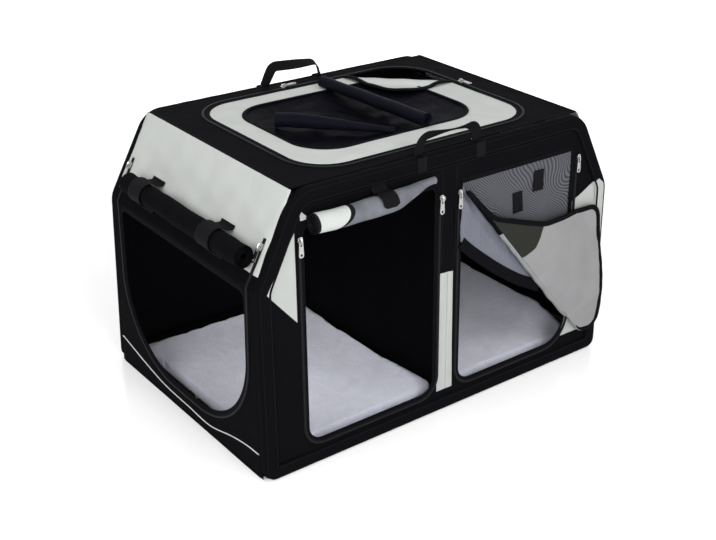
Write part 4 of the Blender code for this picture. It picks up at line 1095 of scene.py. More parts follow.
class CRATE_OT_floor_and_roof(DressPiece, bpy.types.Operator):
    """Lay the floor, stretch the roof round its hatch opening and hang the partition."""

    bl_idname = "crate.floor_and_roof"
    bl_label = "Floor, roof and partition"

    def execute(self, context):
        half_y = DEPTH / 2 - SLEEVE_THICK - 0.0006
        low, high = (-LENGTH / 2 + 0.0003, -half_y), (LENGTH / 2 - 0.0003, half_y)
        points, uv = sheet_grid(low, high, (120, 80), lambda x, y: 0.0028 + 0.0002 * waves(x, y, 2, 0.1))
        piece = cloth_mesh("floor_cloth", [(points, uv, 0)], [black_cloth()], UP)
        thicken(piece, 0.0022)
        fit(piece, "front_frame", ["floor_panel"], fold=True)
        roof_x, roof_y = TOP_LENGTH / 2 - 0.0003, DEPTH / 2 - LEAN - SLEEVE_THICK + 0.004
        outer = np.array(((-roof_x, -roof_y), (roof_x, -roof_y), (roof_x, roof_y), (-roof_x, roof_y)))

        def lift(x, y, t):
            calm = step(t, 0.15, 0.6) * step(1 - t, 0.0, 0.25)
            return 0.9 * sizes().wrinkle * waves(x, y, 8, 0.09) * calm - 0.0003

        inner = even(rounded(hatch_corners(0.004), 16), 240)[:-1]
        points, uv = between(inner, outer, (0, 0), 14, lift)
        piece = cloth_mesh("roof_cloth", [(placed(ROOF, points), uv, 0)], [black_cloth()], UP)
        thicken(piece, sizes().cloth)
        fit(piece, "front_frame", ["roof_panel"], fold=True)
        seams = []
        for sign in (-1, 1):
            y = np.linspace(-roof_y + 0.004, roof_y - 0.004, 120)
            line = stack(sign * (TOP_LENGTH / 2 - 0.0035), y)
            seams.append(trim(line, ROOF, -0.0004, 0.0050, 0.0014, closed=False))
        piece = cloth_mesh("roof_seams", seams, [seam_finish()], UP)
        fit(piece, "front_frame", fold=True)
        z = np.linspace(0.0033, HEIGHT - 0.0033, 80)
        s = np.linspace(-1, 1, 150)
        lean = DEPTH / 2 - SLEEVE_THICK - z * math.tan(LEAN_ANGLE) + 0.011
        y = s[None, :] * lean[:, None]
        x = 0.0030 * waves(y, z[:, None] * 0.18, 41, 0.10) * step(1 - np.abs(s), 0, 0.15)
        x = x * np.sin(np.pi * np.linspace(0.04, 0.96, 80))[:, None]
        grid = (stack(x, y, z[:, None]), stack(y, z[:, None]), 0)
        piece = cloth_mesh("partition_cloth", [grid], [black_cloth()], (1, 0, 0))
        thicken(piece, sizes().cloth, 0.0)
        fit(piece, "front_frame", ["partition"], fold=True)
        return {"FINISHED"}


class CRATE_OT_ends(DressPiece, bpy.types.Operator):
    """Stretch the end walls round their doorways, and the pale slopes over them."""

    bl_idname = "crate.ends"
    bl_label = "Ends and slopes"

    def execute(self, context):
        half = DEPTH / 2 - SLEEVE_THICK + 0.008
        upper = half - LEAN * SLOPE_START / HEIGHT
        outer = np.array(((-half, 0.0012), (half, 0.0012), (upper, SLOPE_START), (-upper, SLOPE_START)))
        hole = even(rounded(end_doorway(), 24), 260)
        middle = (0.0, (END_FOOT + END_HEAD) / 2)
        low_cord = ((-0.274, 0.066), (-0.165, 0.042), (-0.084, 0.029), (0.008, 0.026))
        cord = (*low_cord, (0.092, 0.024), (0.176, 0.044), (0.231, 0.053), (0.274, 0.0545))
        for word, wall, slope in ENDS:

            def lift(x, y, t):
                wave = waves(x, y, 51, 0.07) * step(t, 0.15, 0.6) * step(1 - t, 0, 0.3)
                return -0.0002 - 0.0011 * step(t, 0.85, 1.0) + 0.7 * sizes().wrinkle * wave

            points, uv = between(hole[:-1], outer, middle, 10, lift)
            grid = (placed(wall, points), uv, 0)
            piece = cloth_mesh(f"{word}_end_cloth", [grid], [black_cloth()], placed_way(wall))
            thicken(piece, sizes().cloth)
            fit(piece, "front_frame", [f"{word}_wall"], fold=True)
            grids = [trim(hole, wall, -0.0013, **BINDING)]
            piece = cloth_mesh(f"{word}_end_binding", grids, [binding_cloth()])
            fit(piece, "front_frame", fold=True)
            run = smooth_line(cord, 160)
            grids = [trim(run, wall, 0.0008, 0.0021, 0.0022, closed=False, seat=False, count=10)]
            piece = cloth_mesh(f"{word}_reflective_cord", grids, [piping_finish()])
            fit(piece, "front_frame", fold=True)
            t = np.linspace(0.0004, SLOPE_LONG - 0.0006, 60)
            s = np.linspace(-1, 1, 130)
            y = s[None, :] * np.interp(t, (0, SLOPE_LONG), (upper, half - LEAN))[:, None]
            taper = step(1 - np.abs(s), 0, 0.2)[None, :] * np.sin(np.pi * np.linspace(0, 1, 60))[:, None]
            wave = waves(y * 0.8, t[:, None] * 1.3, 61, 0.09)
            z = 1.5 * sizes().wrinkle * wave * taper - 0.0002 - 0.0011 * step(np.abs(s), 0.96, 1.0)[None, :]
            points = stack(y, t[:, None], z)
            grid = (placed(slope, points), stack(y, t[:, None]), 0)
            piece = cloth_mesh(f"{word}_slope_cloth", [grid], [slope_cloth()], placed_way(slope))
            thicken(piece, sizes().cloth)
            fit(piece, "front_frame", [f"{word}_slope"], fold=True)
        self.shut_door()
        return {"FINISHED"}

    def shut_door(self):
        """The right end's door, shut: a net window in a black border, with a binding between them."""
        edge, window = (even(rounded(inset(end_doorway(), by), 24), 260) for by in (0.001, 0.052))
        middle, deep = (0.0, (END_FOOT + END_HEAD) / 2), -0.0012

        def sag(x, y, t):
            return deep - 0.004 * (1 - t**2) + 0.0010 * waves(x, y, 71, 0.12)

        border, uv = between(window[:-1], edge[:-1], middle, 6, lambda x, y, t: deep + 0 * x)
        inner, inner_uv = fan(window[:-1], middle, 16, sag)
        grids = [(placed(RIGHT_WALL, border), uv, 0), (placed(RIGHT_WALL, inner), inner_uv, 1)]
        piece = cloth_mesh("right_end_door_cloth", grids, [black_cloth(), dark_net()], placed_way(RIGHT_WALL))
        thicken(piece, sizes().net)
        fit(piece, "right_end_door", ["right_end_door"], fold=True)
        tape = trim(window, RIGHT_WALL, deep, 0.0090, 0.0020)
        piece = cloth_mesh("right_end_door_trim", [tape], [binding_cloth()], placed_way(RIGHT_WALL))
        fit(piece, "right_end_door", fold=True)


@once("rolled_door")
def roll_finish(name):
    """The rolled front door by place: black at its end, pale cloth, a curved binding, then grey net."""
    material, tree, shader, place, cloth = new_finish(name, Specular_IOR_Level=0.10)
    split = axes(tree, place)
    drop = calc(tree, "DIVIDE", calc(tree, "SUBTRACT", 0.532, split[2]), 2 * ROLL_R)
    bend = times(tree, times(tree, drop, drop), 0.040)
    past = calc(tree, "ADD", calc(tree, "ADD", split[0], 0.262), bend)
    yarns = effect(tree, yarn_group, Cloth=cloth)["Tone"]
    net = effect(tree, net_group, Cloth=cloth, Pitch=0.0015)[0]
    pale, haze, black = colours().pale, colours().haze, colours().black
    light = blend(tree, yarns, tint(pale, 0.85), tint(pale, 0.98))
    grey = blend(tree, noise(tree, place, 30.0, 3.0), tint(haze, 0.55), tint(haze, 1.60))
    grey = blend(tree, times(tree, net, 0.25), grey, tint(haze, 0.4))
    shade = blend(tree, ramp(tree, past, -0.0002, 0.0002), light, grey)
    bound = calc(tree, "SUBTRACT", 1.0, ramp(tree, calc(tree, "ABSOLUTE", past), 0.0048, 0.0052))
    end = calc(tree, "SUBTRACT", 1.0, ramp(tree, split[0], -0.3365, -0.3360))
    shade = blend(tree, calc(tree, "MAXIMUM", bound, end), shade, black)
    creases = effect(tree, crease_group, Place=place, Size=14.0)[0]
    height = scaled(tree, bound, 0.0012, times(tree, creases, 0.0030))
    return finished(material, shader, shade, scaled(tree, yarns, 0.12, 0.66), height)


class CRATE_OT_rolled_doors(DressPiece, bpy.types.Operator):
    """Roll up the front left door and the left end door, and tie them with their tabs and straps."""

    bl_idname = "crate.rolled_doors"
    bl_label = "Rolled doors and straps"

    def execute(self, context):
        lift = -0.008 + 0.003 + 0.0003 + ROLL_R
        left, right = 0.011 - DOOR_OUTER, -0.015 - DOOR_INNER
        waist, up = right - 0.095, DOOR_HEAD + 0.0045
        share = np.linspace(0, 1, 150)
        x = left + (right - left) * share
        taper = step(x, waist - 0.03, right)
        radius = ROLL_R * (1 - 0.62 * taper) * (1 + 0.02 * waves(x, 0 * x, 3, 0.09))
        sag = 0.012 * step(x, waist - 0.02, right) - 0.0022 * np.sin(np.pi * np.clip(share / 0.7, 0, 1))
        line = placed(FRONT, stack(x, up + sag, lift - (ROLL_R - radius)))
        points, uv = rolled(line, radius, 6, 0.16, 13, math.pi, 0.0011)
        piece = cloth_mesh("front_left_rolled_door", [(points, uv, 0)], [roll_finish()], merge=False)
        thicken(piece, 0.0011)
        fit(piece, "front_frame", ["front_left_roll"])
        flat_size(uv)
        share = np.linspace(0, 1, 190)
        y = np.linspace(0.003 - END_HALF, END_HALF - 0.044, 190)
        sag = 0.0025 * np.sin(np.pi * share) * np.abs(np.cos(2.5 * np.pi * share))
        line = placed(LEFT_SLOPE, stack(-y, END_ROLL_UP - sag * 0.4, END_ROLL_R + 0.0003))
        radius = END_ROLL_R * (1 + 0.010 * waves(y, 0 * y, 9, 0.12))
        points, uv = rolled(line, radius, 5, 0.30, 17, -SLOPE_ANGLE, 0.0016)
        piece = cloth_mesh("left_end_rolled_door", [(points, uv, 0)], [black_cloth()], merge=False)
        thicken(piece, 0.0012)
        fit(piece, "front_frame", ["left_end_roll"], fold=True)
        flat_size(uv)
        self.straps(lift, waist, up)
        return {"FINISHED"}

    def straps(self, lift, waist, up):
        """Straps over the rolls: a flat band carried along each strap's path."""
        half = 0.0225
        for word, side in (("front", -1), ("back", 1)):
            path = over_roll(END_ROLL_R, -25, 205, 0.0016, 0.010, True)
            turned = path + (END_ROLL_UP, END_ROLL_R) + (0, 0.0003)
            across = np.linspace(-half, half, 12)
            rough = waves(path[None, :, 0] * 3, across[:, None], 5, 0.1)
            y = across[:, None] - side * (END_HALF - 0.110) + 0.0006 * rough
            points = stack(y, turned[None, :, 0], turned[None, :, 1])
            run = run_along(path)
            uv = stack(run[None, :], (across + half)[:, None])
            piece = cloth_mesh(f"end_strap_{word}_web", [(placed(LEFT_SLOPE, points), uv, 0)], [webbing()])
            thicken(piece, 0.0016, 0.0)
            fit(piece, "front_frame", [f"end_strap_{word}"], fold=True)
        path = over_roll(ROLL_R, -30, 92, 0.0018, 0.012, False)
        x = waist - 0.038 + np.linspace(-0.018, 0.018, 12)
        tip = 1 - 0.35 * step(np.linspace(0, 1, len(path)), 0.93, 1.0)
        middle = float(x.mean())
        wide = middle + (x[:, None] - middle) * tip[None, :]
        points = stack(wide, up + path[None, :, 0], lift + path[None, :, 1])
        run = run_along(path)
        uv = stack(run[None, :], (x - x[0])[:, None])
        piece = cloth_mesh("front_hold_tab_web", [(placed(FRONT, points), uv, 0)], [webbing()])
        thicken(piece, 0.0018, 0.0)
        fit(piece, "front_frame", ["front_hold_tab"])


# Ends (x, height) of the crease that the front right door's corner is folded along
CREASE_TOP = (DOOR_INNER + 0.011, DOOR_HEAD - 0.024)
CREASE_FOOT = (DOOR_OUTER - 0.002, DOOR_FOOT + 0.060)


def crease_at(x):
    """Height of the folded corner's crease across the face."""
    fall = (CREASE_FOOT[1] - CREASE_TOP[1]) / (CREASE_FOOT[0] - CREASE_TOP[0])
    return CREASE_TOP[1] + fall * (x - CREASE_TOP[0])


def flap_finish():
    """The folded corner: grey cloth, with a dark net wedge in its upper inner corner."""
    corners = [(0.178, 0.292), (0.206, 0.299), (0.229, 0.313), (0.241, 0.334)]
    corners += [(0.249, 0.361), (0.250, 0.380), (0.106, 0.430), (0.060, 0.400)]

    def mask(tree, place, cloth):
        return ramp(tree, inside_of(tree, axes(tree, place), corners), -PATCH_BLUR, PATCH_BLUR)

    return cloth_finish("folded_corner", colours().grey, (0.022, 0.023, 0.020), mask, crease=0.0030)


class CRATE_OT_front_right_door(DressPiece, bpy.types.Operator):
    """Hang the front right door: its net, its two tabs, the soft fold of its edge and the folded corner."""

    bl_idname = "crate.front_right_door"
    bl_label = "Front right door"

    def execute(self, context):
        left, right, top = DOOR_INNER + 0.001, DOOR_OUTER - 0.001, DOOR_HEAD - 0.001
        fold_end = 0.262
        slack = ((0.046, 0.359), (0.070, 0.338), (0.120, 0.298), (0.163, 0.267), (0.204, 0.241))
        edge = smooth_line(((left, 0.374), *slack, (fold_end, 0.2100)), 120)
        x = np.concatenate((np.linspace(left, fold_end, 90), np.linspace(fold_end + 0.002, right, 50)))
        foot = np.where(x <= fold_end, np.interp(x, edge[:, 0], edge[:, 1]), crease_at(x) + 0.0005)
        t = np.linspace(0, 1, 70)
        y = foot[None, :] + (top - foot)[None, :] * t[:, None]
        x = x[None, :] + 0 * y
        below = crease_at(x) - y
        hang = step(below, -0.004, 0.040)
        soft = 0.0032 * waves(x, y, 81, 0.10) * np.sin(np.pi * t)[:, None]
        folds = 0.0024 * np.sin((x * 0.8 + y * 0.6) * 115 + 3 * waves(x, y, 83, 0.1)) * hang * (1 - hang) * 4
        foot_free = step(t, 0.0, 0.22)[:, None]
        swing = 0.0035 + 0.0030 * waves(x, y, 82, 0.06) * foot_free
        z = -0.0062 + np.minimum(soft, 0.0016) * (1 - hang) + hang * swing + folds * foot_free
        grids = [(placed(FRONT, stack(x, y, z)), stack(x, y), 0)]
        piece = cloth_mesh("front_right_door_net", grids, [haze_net(), self.wedge_net()], placed_way(FRONT))
        middle = np.empty(len(piece.data.polygons) * 3)
        piece.data.polygons.foreach_get("center", middle)
        middle = middle.reshape(-1, 3)
        lower = crease_at(middle[:, 0]) > middle[:, 2]
        piece.data.polygons.foreach_set("material_index", lower.astype(np.int32))
        thicken(piece, sizes().net)
        fit(piece, "front_frame", ["front_right_door"])
        hem_line = stack(edge[:, 0], edge[:, 1] - 0.002)
        grids = [trim(hem_line, FRONT, -0.0012, 0.0250, 0.0036, closed=False, seat=False, count=16)]
        side = stack(right - 0.0045 + 0 * t, 0.150 + (top - 0.150) * t)
        grids.append(trim(side, FRONT, -0.0052, 0.0120, 0.0026, closed=False, seat=False))
        head = stack(left + (right - left) * t, top - 0.004 + 0 * t)
        grids.append(trim(head, FRONT, -0.0052, 0.0120, 0.0026, closed=False, seat=False))
        piece = cloth_mesh("front_right_door_edge", grids, [binding_cloth()])
        fit(piece, "front_frame")
        grids = []
        half, tall = 0.0135, 0.022
        for k, cx, cy, skew in (
            (0, DOOR_OUTER - 0.108, DOOR_HEAD - 0.053, 0.06),
            (1, DOOR_OUTER - 0.166, DOOR_HEAD - 0.088, -0.05),
        ):

            def lift(u, v, k=k):
                curl = 0.0022 * step(-v, -tall, tall)
                return -0.0036 + curl + 0.0008 * np.sin((u + k) * 130)

            flat, uv = sheet_grid((-half, -tall), (half, tall), (14, 20), lift)
            flat = flat + stack(flat[..., 1] * skew + cx, cy, 0)
            grids.append((placed(FRONT, flat), uv[..., ::-1] + 0.03, 0))
        piece = cloth_mesh("front_right_door_tabs", grids, [webbing()], placed_way(FRONT))
        thicken(piece, 0.0014)
        fit(piece, "front_frame")
        self.corner()
        return {"FINISHED"}

    def fold_finish(self):
        """Grey cloth over the bend, and black binding at its upper end."""

        def mask(tree, place, cloth):
            return ramp(tree, axes(tree, cloth)[0], 0.150, 0.151)

        return cloth_finish("bend_cloth", colours().black, colours().grey, mask)

    def wedge_net(self):
        """The lighter, bluer net in the soft fold: one flat colour that paints the shading of the fold's
        turning cloth.
        """
        return haze_net("wedge_net", (0.125, 0.132, 0.160), 0.22, 0.0042, 3.0, "X")

    def corner(self):
        """The corner folded outwards over a round bend, bound along its free edge."""
        outer = (
            (DOOR_OUTER + 0.034, DOOR_FOOT + 0.016, 0.026),
            (DOOR_OUTER + 0.094, DOOR_FOOT + 0.006, 0.030),
            (DOOR_OUTER + 0.092, DOOR_FOOT + 0.144, 0.100),
            (DOOR_OUTER + 0.072, DOOR_HEAD - 0.142, 0.034),
            (DOOR_OUTER - 0.104, DOOR_HEAD - 0.142, 0.090),
            (DOOR_INNER + 0.080, DOOR_HEAD - 0.096, 0.090),
        )
        line = even(rounded([(*CREASE_TOP, 0), (*CREASE_FOOT, 0), *outer], 12), 300)
        top, foot = np.array(CREASE_TOP), np.array(CREASE_FOOT)

        def lift(x, y, t):
            off = (y - crease_at(x)) * 0.635
            swell = 0.0095 * np.sin(np.pi * np.clip(off / 0.17, 0, 1)) ** 0.8
            folds = 0.0010 * np.sin(x * 58 + y * 9 + 1.5 * waves(x, y, 91, 0.2)) * step(off, 0.01, 0.05)
            low = step(y, 0.05, 0.16)
            return 0.0088 + swell * low + folds * (0.35 + 0.65 * low) + 0.0008 * waves(x, y, 92, 0.05)

        start = int(np.argmin(np.hypot(*(line - foot).T)))
        free = even(line[start:], 260, closed=False)
        crease = foot + np.linspace(0, 1, 260)[:, None] * (top - foot)
        points, uv = ring_grid(crease, free, 60, lift)
        grid = (placed(FRONT, points), uv, 0)
        piece = cloth_mesh("front_right_folded_corner", [grid], [flap_finish()], placed_way(FRONT))
        thicken(piece, 0.0014)
        fit(piece, "front_right_flap", ["front_right_flap"])
        a = np.linspace(-0.5 * np.pi, 0.5 * np.pi, 13)
        share = np.linspace(0.01, 0.985, 90)
        x = top[0] + (foot[0] - top[0]) * share
        down = (foot - top) / np.hypot(*(foot - top))
        radius, bend_long = 0.0064, 0.49
        taper = np.sqrt(1 - np.clip(share, 0, 0.995) ** 12)
        bow = radius * np.cos(a)[None, :] * (taper * (1 + 0.12 * waves(share, share, 94, 0.12)))[:, None]
        rise = 0.0026 + radius * np.sin(a)[None, :]
        points = stack(x[:, None] + down[1] * bow, crease_at(x)[:, None] - down[0] * bow, rise)
        grid = (placed(FRONT, points), stack((share * bend_long)[:, None], a[None, :] * radius), 0)
        piece = cloth_mesh("front_right_fold", [grid], [self.fold_finish()], (-0.7, -0.3, -0.5))
        thicken(piece, 0.0012)
        fit(piece, "front_right_flap")
        heights = lift(free[:, 0], free[:, 1], None) - 0.0002
        inward = 0.0045
        section, uv = band(free, heights, oval(0.0115, 0.0040, 16), inward=inward)
        path = stack(*(free - normals_in_plane(free, closed=False) * inward).T, heights)[:, None]
        full = 0.12 + 0.88 * step(np.arange(len(path)) / 30.0, 0.2, 1.0)[:, None, None]
        grid = (placed(FRONT, path + (section - path) * full), uv, 0)
        piece = cloth_mesh("front_right_corner_binding", [grid], [binding_cloth()])
        fit(piece, "front_right_flap")


def mirrored(points, first, second):
    """Points mirrored over the line through two others."""
    first, second = np.array(first), np.array(second)
    along = (second - first) / np.hypot(*(second - first))
    off = points - first
    return first + 2 * along * (off @ along)[:, None] - off


class CRATE_OT_hatch(DressPiece, bpy.types.Operator):
    """Close the roof with the hatch: ring, net window, folded corner, bindings and two rolled covers."""

    bl_idname = "crate.hatch"
    bl_label = "Hatch"

    def execute(self, context):
        corners = hatch_corners()
        # Where the folded corner's crease meets the hatch's back and right edges
        left, right = (HATCH_X - 0.179, HATCH_Y), (HATCH_X, HATCH_Y - 0.164)
        kept = rounded([corners[0], corners[1], (*right, 0), (*left, 0), corners[3]], 16)
        window = even(rounded(window_corners(), 16), 260)
        middle = (-0.015, 0.0)

        def lift(x, y, t):
            return 0.0004 + 0.0012 * waves(x, y, 101, 0.07) * np.sin(np.pi * t)

        points, uv = between(window[:-1], kept, middle, 10, lift)
        piece = cloth_mesh("hatch_ring_cloth", [(placed(ROOF, points), uv, 0)], [pale_cloth()], UP)
        thicken(piece, sizes().cloth)
        fit(piece, "hatch", ["hatch_ring"], fold=True)
        edge = even(kept, 420)
        grids = [
            trim(window, ROOF, 0.0002, 0.0085, 0.0020),
            trim(edge, ROOF, -0.0004, 0.0090, 0.0026, seat=False, count=16),
        ]
        piece = cloth_mesh("hatch_bindings", grids, [binding_cloth()], UP)
        fit(piece, "hatch", fold=True)

        def hang(x, y, t):
            folds = 0.0012 * np.sin(x * 44 - y * 30 + 2.2 * waves(x, y, 104, 0.12))
            loose = (0.0016 * waves(x, y, 103, 0.08) + folds) * np.sqrt(1 - t**2)
            return -0.0006 - 0.0070 * (1 - t**2) + loose

        points, uv = fan(window[:-1], middle, 40, hang)
        piece = cloth_mesh("hatch_window_net", [(placed(ROOF, points), uv, 0)], [self.window_finish()], UP)
        thicken(piece, sizes().net)
        fit(piece, "hatch", ["hatch_window"], fold=True)
        self.folded_corner(left, right, corners[2])
        self.covers()
        return {"FINISHED"}

    def window_finish(self):
        """Black net with a faint blue gloss."""
        return dark_net("window_net", (0.0018, 0.0018, 0.0038), 0.34, 0.06, 0.008)

    def folded_corner(self, left, right, corner):
        """The hatch's loose corner, folded back over its ring with its edge curled up."""
        line = even(mirrored(rounded([(*right, 0), corner, (*left, 0)], 24), left, right), 160)
        down = np.array(right) - np.array(left)
        down = down / np.hypot(*down)
        out = np.array((-down[1], down[0]))

        def lift(px, py, t):
            off = np.abs((px - left[0]) * out[0] + (py - left[1]) * out[1])
            curl = 0.002 * step(off, 0.0, 0.10) + 0.0050 * np.sin(np.pi * np.clip(off / 0.05, 0, 1))
            return 0.0018 + curl + 0.0012 * waves(px, py, 105, 0.05)

        points, uv = fan(line[:-1], line[:-1].mean(0), 24, lift)
        piece = cloth_mesh("hatch_folded_corner", [(placed(ROOF, points), uv, 0)], [pale_cloth()], UP)
        thicken(piece, 0.0012)
        fit(piece, "hatch_corner", ["hatch_corner"], fold=True)

        def off_crease(points):
            return np.abs((points - np.array(left)) @ out) > 0.0008

        keep = off_crease(line)
        free = np.roll(line[:-1], -int(np.argmax(keep & ~np.roll(keep, 1))), 0)
        free = smooth_line(even(free[off_crease(free)], 40, closed=False), 120)
        heights = lift(free[:, 0], free[:, 1], None) + 0.0002
        section, uv = band(free, heights, oval(0.0125, 0.0050, 16))
        piece = cloth_mesh("hatch_corner_binding", [(placed(ROOF, section), uv, 0)], [binding_cloth()])
        fit(piece, "hatch_corner", fold=True)

    def covers(self):
        """The window's two covers, rolled: an even one with open ends, and a tapered one."""
        t = np.linspace(0, 1, 130)
        left, front, _, back = WINDOW
        even_roll = 0.0150 * (1 - 0.12 * t) * (1 + 0.03 * waves(t * 0.35, 0 * t, 6, 0.12))
        tapered = 0.0165 * (0.36 + 0.64 * step(t, -0.1, 0.9)) * (1 + 0.04 * waves(t * 0.25, 0 * t, 8, 0.1))
        for name, stands_for, start, end, lift, radius, form in (
            (
                "hatch_rolled_cover",
                "hatch_cover_roll",
                (0.044, front - 0.004),
                (0.026, HATCH_Y - 0.028),
                0.0004,
                even_roll,
                (4, 0.34, 23, 0.0008),
            ),
            (
                "hatch_side_rolled_cover",
                "hatch_side_roll",
                (-0.030, front + 0.008),
                (left + 0.030, back - 0.128),
                -0.0007,
                tapered,
                (3, 0.30, 29, 0.0012),
            ),
        ):
            turns, core, seed, crease = form
            flat = start + (np.array(end) - start) * t[:, None]
            line = stack(*flat.T, HEIGHT + lift + radius)
            points, uv = rolled(line, radius, turns, core, seed, -math.pi / 2, crease)
            piece = cloth_mesh(name, [(points, uv, 0)], [self.cover_finish()], merge=False)
            thicken(piece, 0.0009)
            fit(piece, "hatch", [stands_for], fold=True)
            flat_size(uv)

    def cover_finish(self):
        """The covers' smoother black cloth, with a faint blue gloss."""
        return cloth_finish("cover_cloth", (0.0045, 0.0045, 0.0085), crease=0.0028, rough=0.42, lint=0.01)


class CRATE_OT_pads(DressPiece, bpy.types.Operator):
    """Fill the two fleece pads: a closed form that cloth pressure swells between its edges."""

    bl_idname = "crate.pads"
    bl_label = "Floor pads"

    def execute(self, context):
        for word, side in (("left", -1), ("right", 1)):
            low, high = (np.array(c, float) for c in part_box(f"pad_{word}"))
            low = low - (0.003 + 0.006 * (side < 0), 0.014, 0)
            high = high + (0.003 + 0.006 * (side > 0), 0.014, 0)
            piece = self.form(word, low, high)
            self.swell(piece, low, high)
            points = vertex_places(piece.data)
            points[:, 2] += self.climb(points, low, high, side)
            piece.data.vertices.foreach_set("co", points.ravel())
            piece.data.update()
            fit(piece, f"pad_{word}", [f"pad_{word}"], fold=True)
        return {"FINISHED"}

    def climb(self, points, low, high, side):
        """How far the border rides up the walls, as the pad is wider than its bay.

        Each border rises by a (1 - d / w)^2 at the distance d from it.
        """
        from_left, from_right, back = points[:, 0] - low[0], high[0] - points[:, 0], high[1] - points[:, 1]
        inner, outer = (from_right, from_left) if side < 0 else (from_left, from_right)
        along = (points[:, 1] - low[1]) / (high[1] - low[1])
        inner = (0.030 - 0.018 * along) * np.clip(1 - inner / 0.09, 0, 1) ** 2
        outer = (0.052 if side > 0 else 0.0) * np.clip(1 - outer / 0.11, 0, 1) ** 2 * step(along, 0.0, 0.25)
        back = 0.012 * np.clip(1 - back / 0.09, 0, 1) ** 2
        return (inner**3 + outer**3 + back**3) ** (1 / 3)

    def form(self, word, low, high):
        """A pad before it is filled: rings of a rounded rectangle, drawn in at the seam, crowned on top."""
        middle, half = (low + high) / 2, (high - low) / 2
        x, y = half[:2] - 0.004
        outline = even(rounded([(-x, -y, 0.016), (x, -y, 0.016), (x, y, 0.016), (-x, y, 0.016)], 10), 240)
        draw = np.array((1.0, 0.50, 0.050, 0.020, 0.004, 0.000, 0.002, 0.012, 0.035, 0.090, 0.300, 0.70, 1.0))
        rise = np.array((0.0, 0.0, 0.0, 0.06, 0.25, 0.45, 0.62, 0.76, 0.82, 0.90, 0.96, 0.97, 0.97))
        flat = outline[None] * (1 - draw[:, None, None])
        z = low[2] + (high[2] - low[2]) * rise[:, None]
        points = stack(flat[..., 0] + middle[0], flat[..., 1] + middle[1], z)
        return cloth_mesh(f"fleece_pad_{word}", [(points, flat, 0)], [fleece()])

    def swell(self, piece, low, high):
        """Cloth pressure with gravity off; no point moves further than a cap or leaves the pad's room."""
        frames, cap = 16, 0.010
        bpy.context.view_layer.objects.active = piece
        remesh = piece.modifiers.new("even", "REMESH")
        remesh.mode, remesh.voxel_size = "VOXEL", 0.0055
        graph = bpy.context.evaluated_depsgraph_get()
        mesh = bpy.data.meshes.new_from_object(piece.evaluated_get(graph))
        piece.modifiers.clear()
        piece.data = mesh
        rest = vertex_places(mesh)
        cloth = piece.modifiers.new("fill", "CLOTH")
        fill = cloth.settings
        fill.quality, fill.mass = 5, 0.3
        fill.tension_stiffness = fill.compression_stiffness = 25
        fill.bending_stiffness = 2.0
        fill.use_pressure, fill.uniform_pressure_force = True, 3.0
        fill.effector_weights.gravity = 0
        cloth.point_cache.frame_start, cloth.point_cache.frame_end = 1, frames
        scene = bpy.context.scene
        for now in range(1, frames + 1):
            scene.frame_set(now)
        graph = bpy.context.evaluated_depsgraph_get()
        shift = vertex_places(piece.evaluated_get(graph).to_mesh()) - rest
        piece.evaluated_get(graph).to_mesh_clear()
        piece.modifiers.clear()
        scene.frame_set(1)
        far = np.sqrt((shift**2).sum(1, keepdims=True))
        points = rest + shift * np.minimum(1, cap / np.maximum(far, 1e-9))
        x, y, z = points.T
        points[:, 2] += 0.0009 * waves(x, y, 111, 0.06) * step(z, low[2] + 0.01, low[2] + 0.02)
        points = np.clip(points, low + 0.0002, high + (0.0, 0.0, 0.004) - 0.0002)
        mesh.vertices.foreach_set("co", points.ravel())
        mesh.materials.clear()
        mesh.materials.append(fleece())
        mesh.polygons.foreach_set("use_smooth", np.ones(len(mesh.polygons), bool))
        mesh.update()
        finer = piece.modifiers.new("smooth", "SUBSURF")
        finer.levels = finer.render_levels = 1


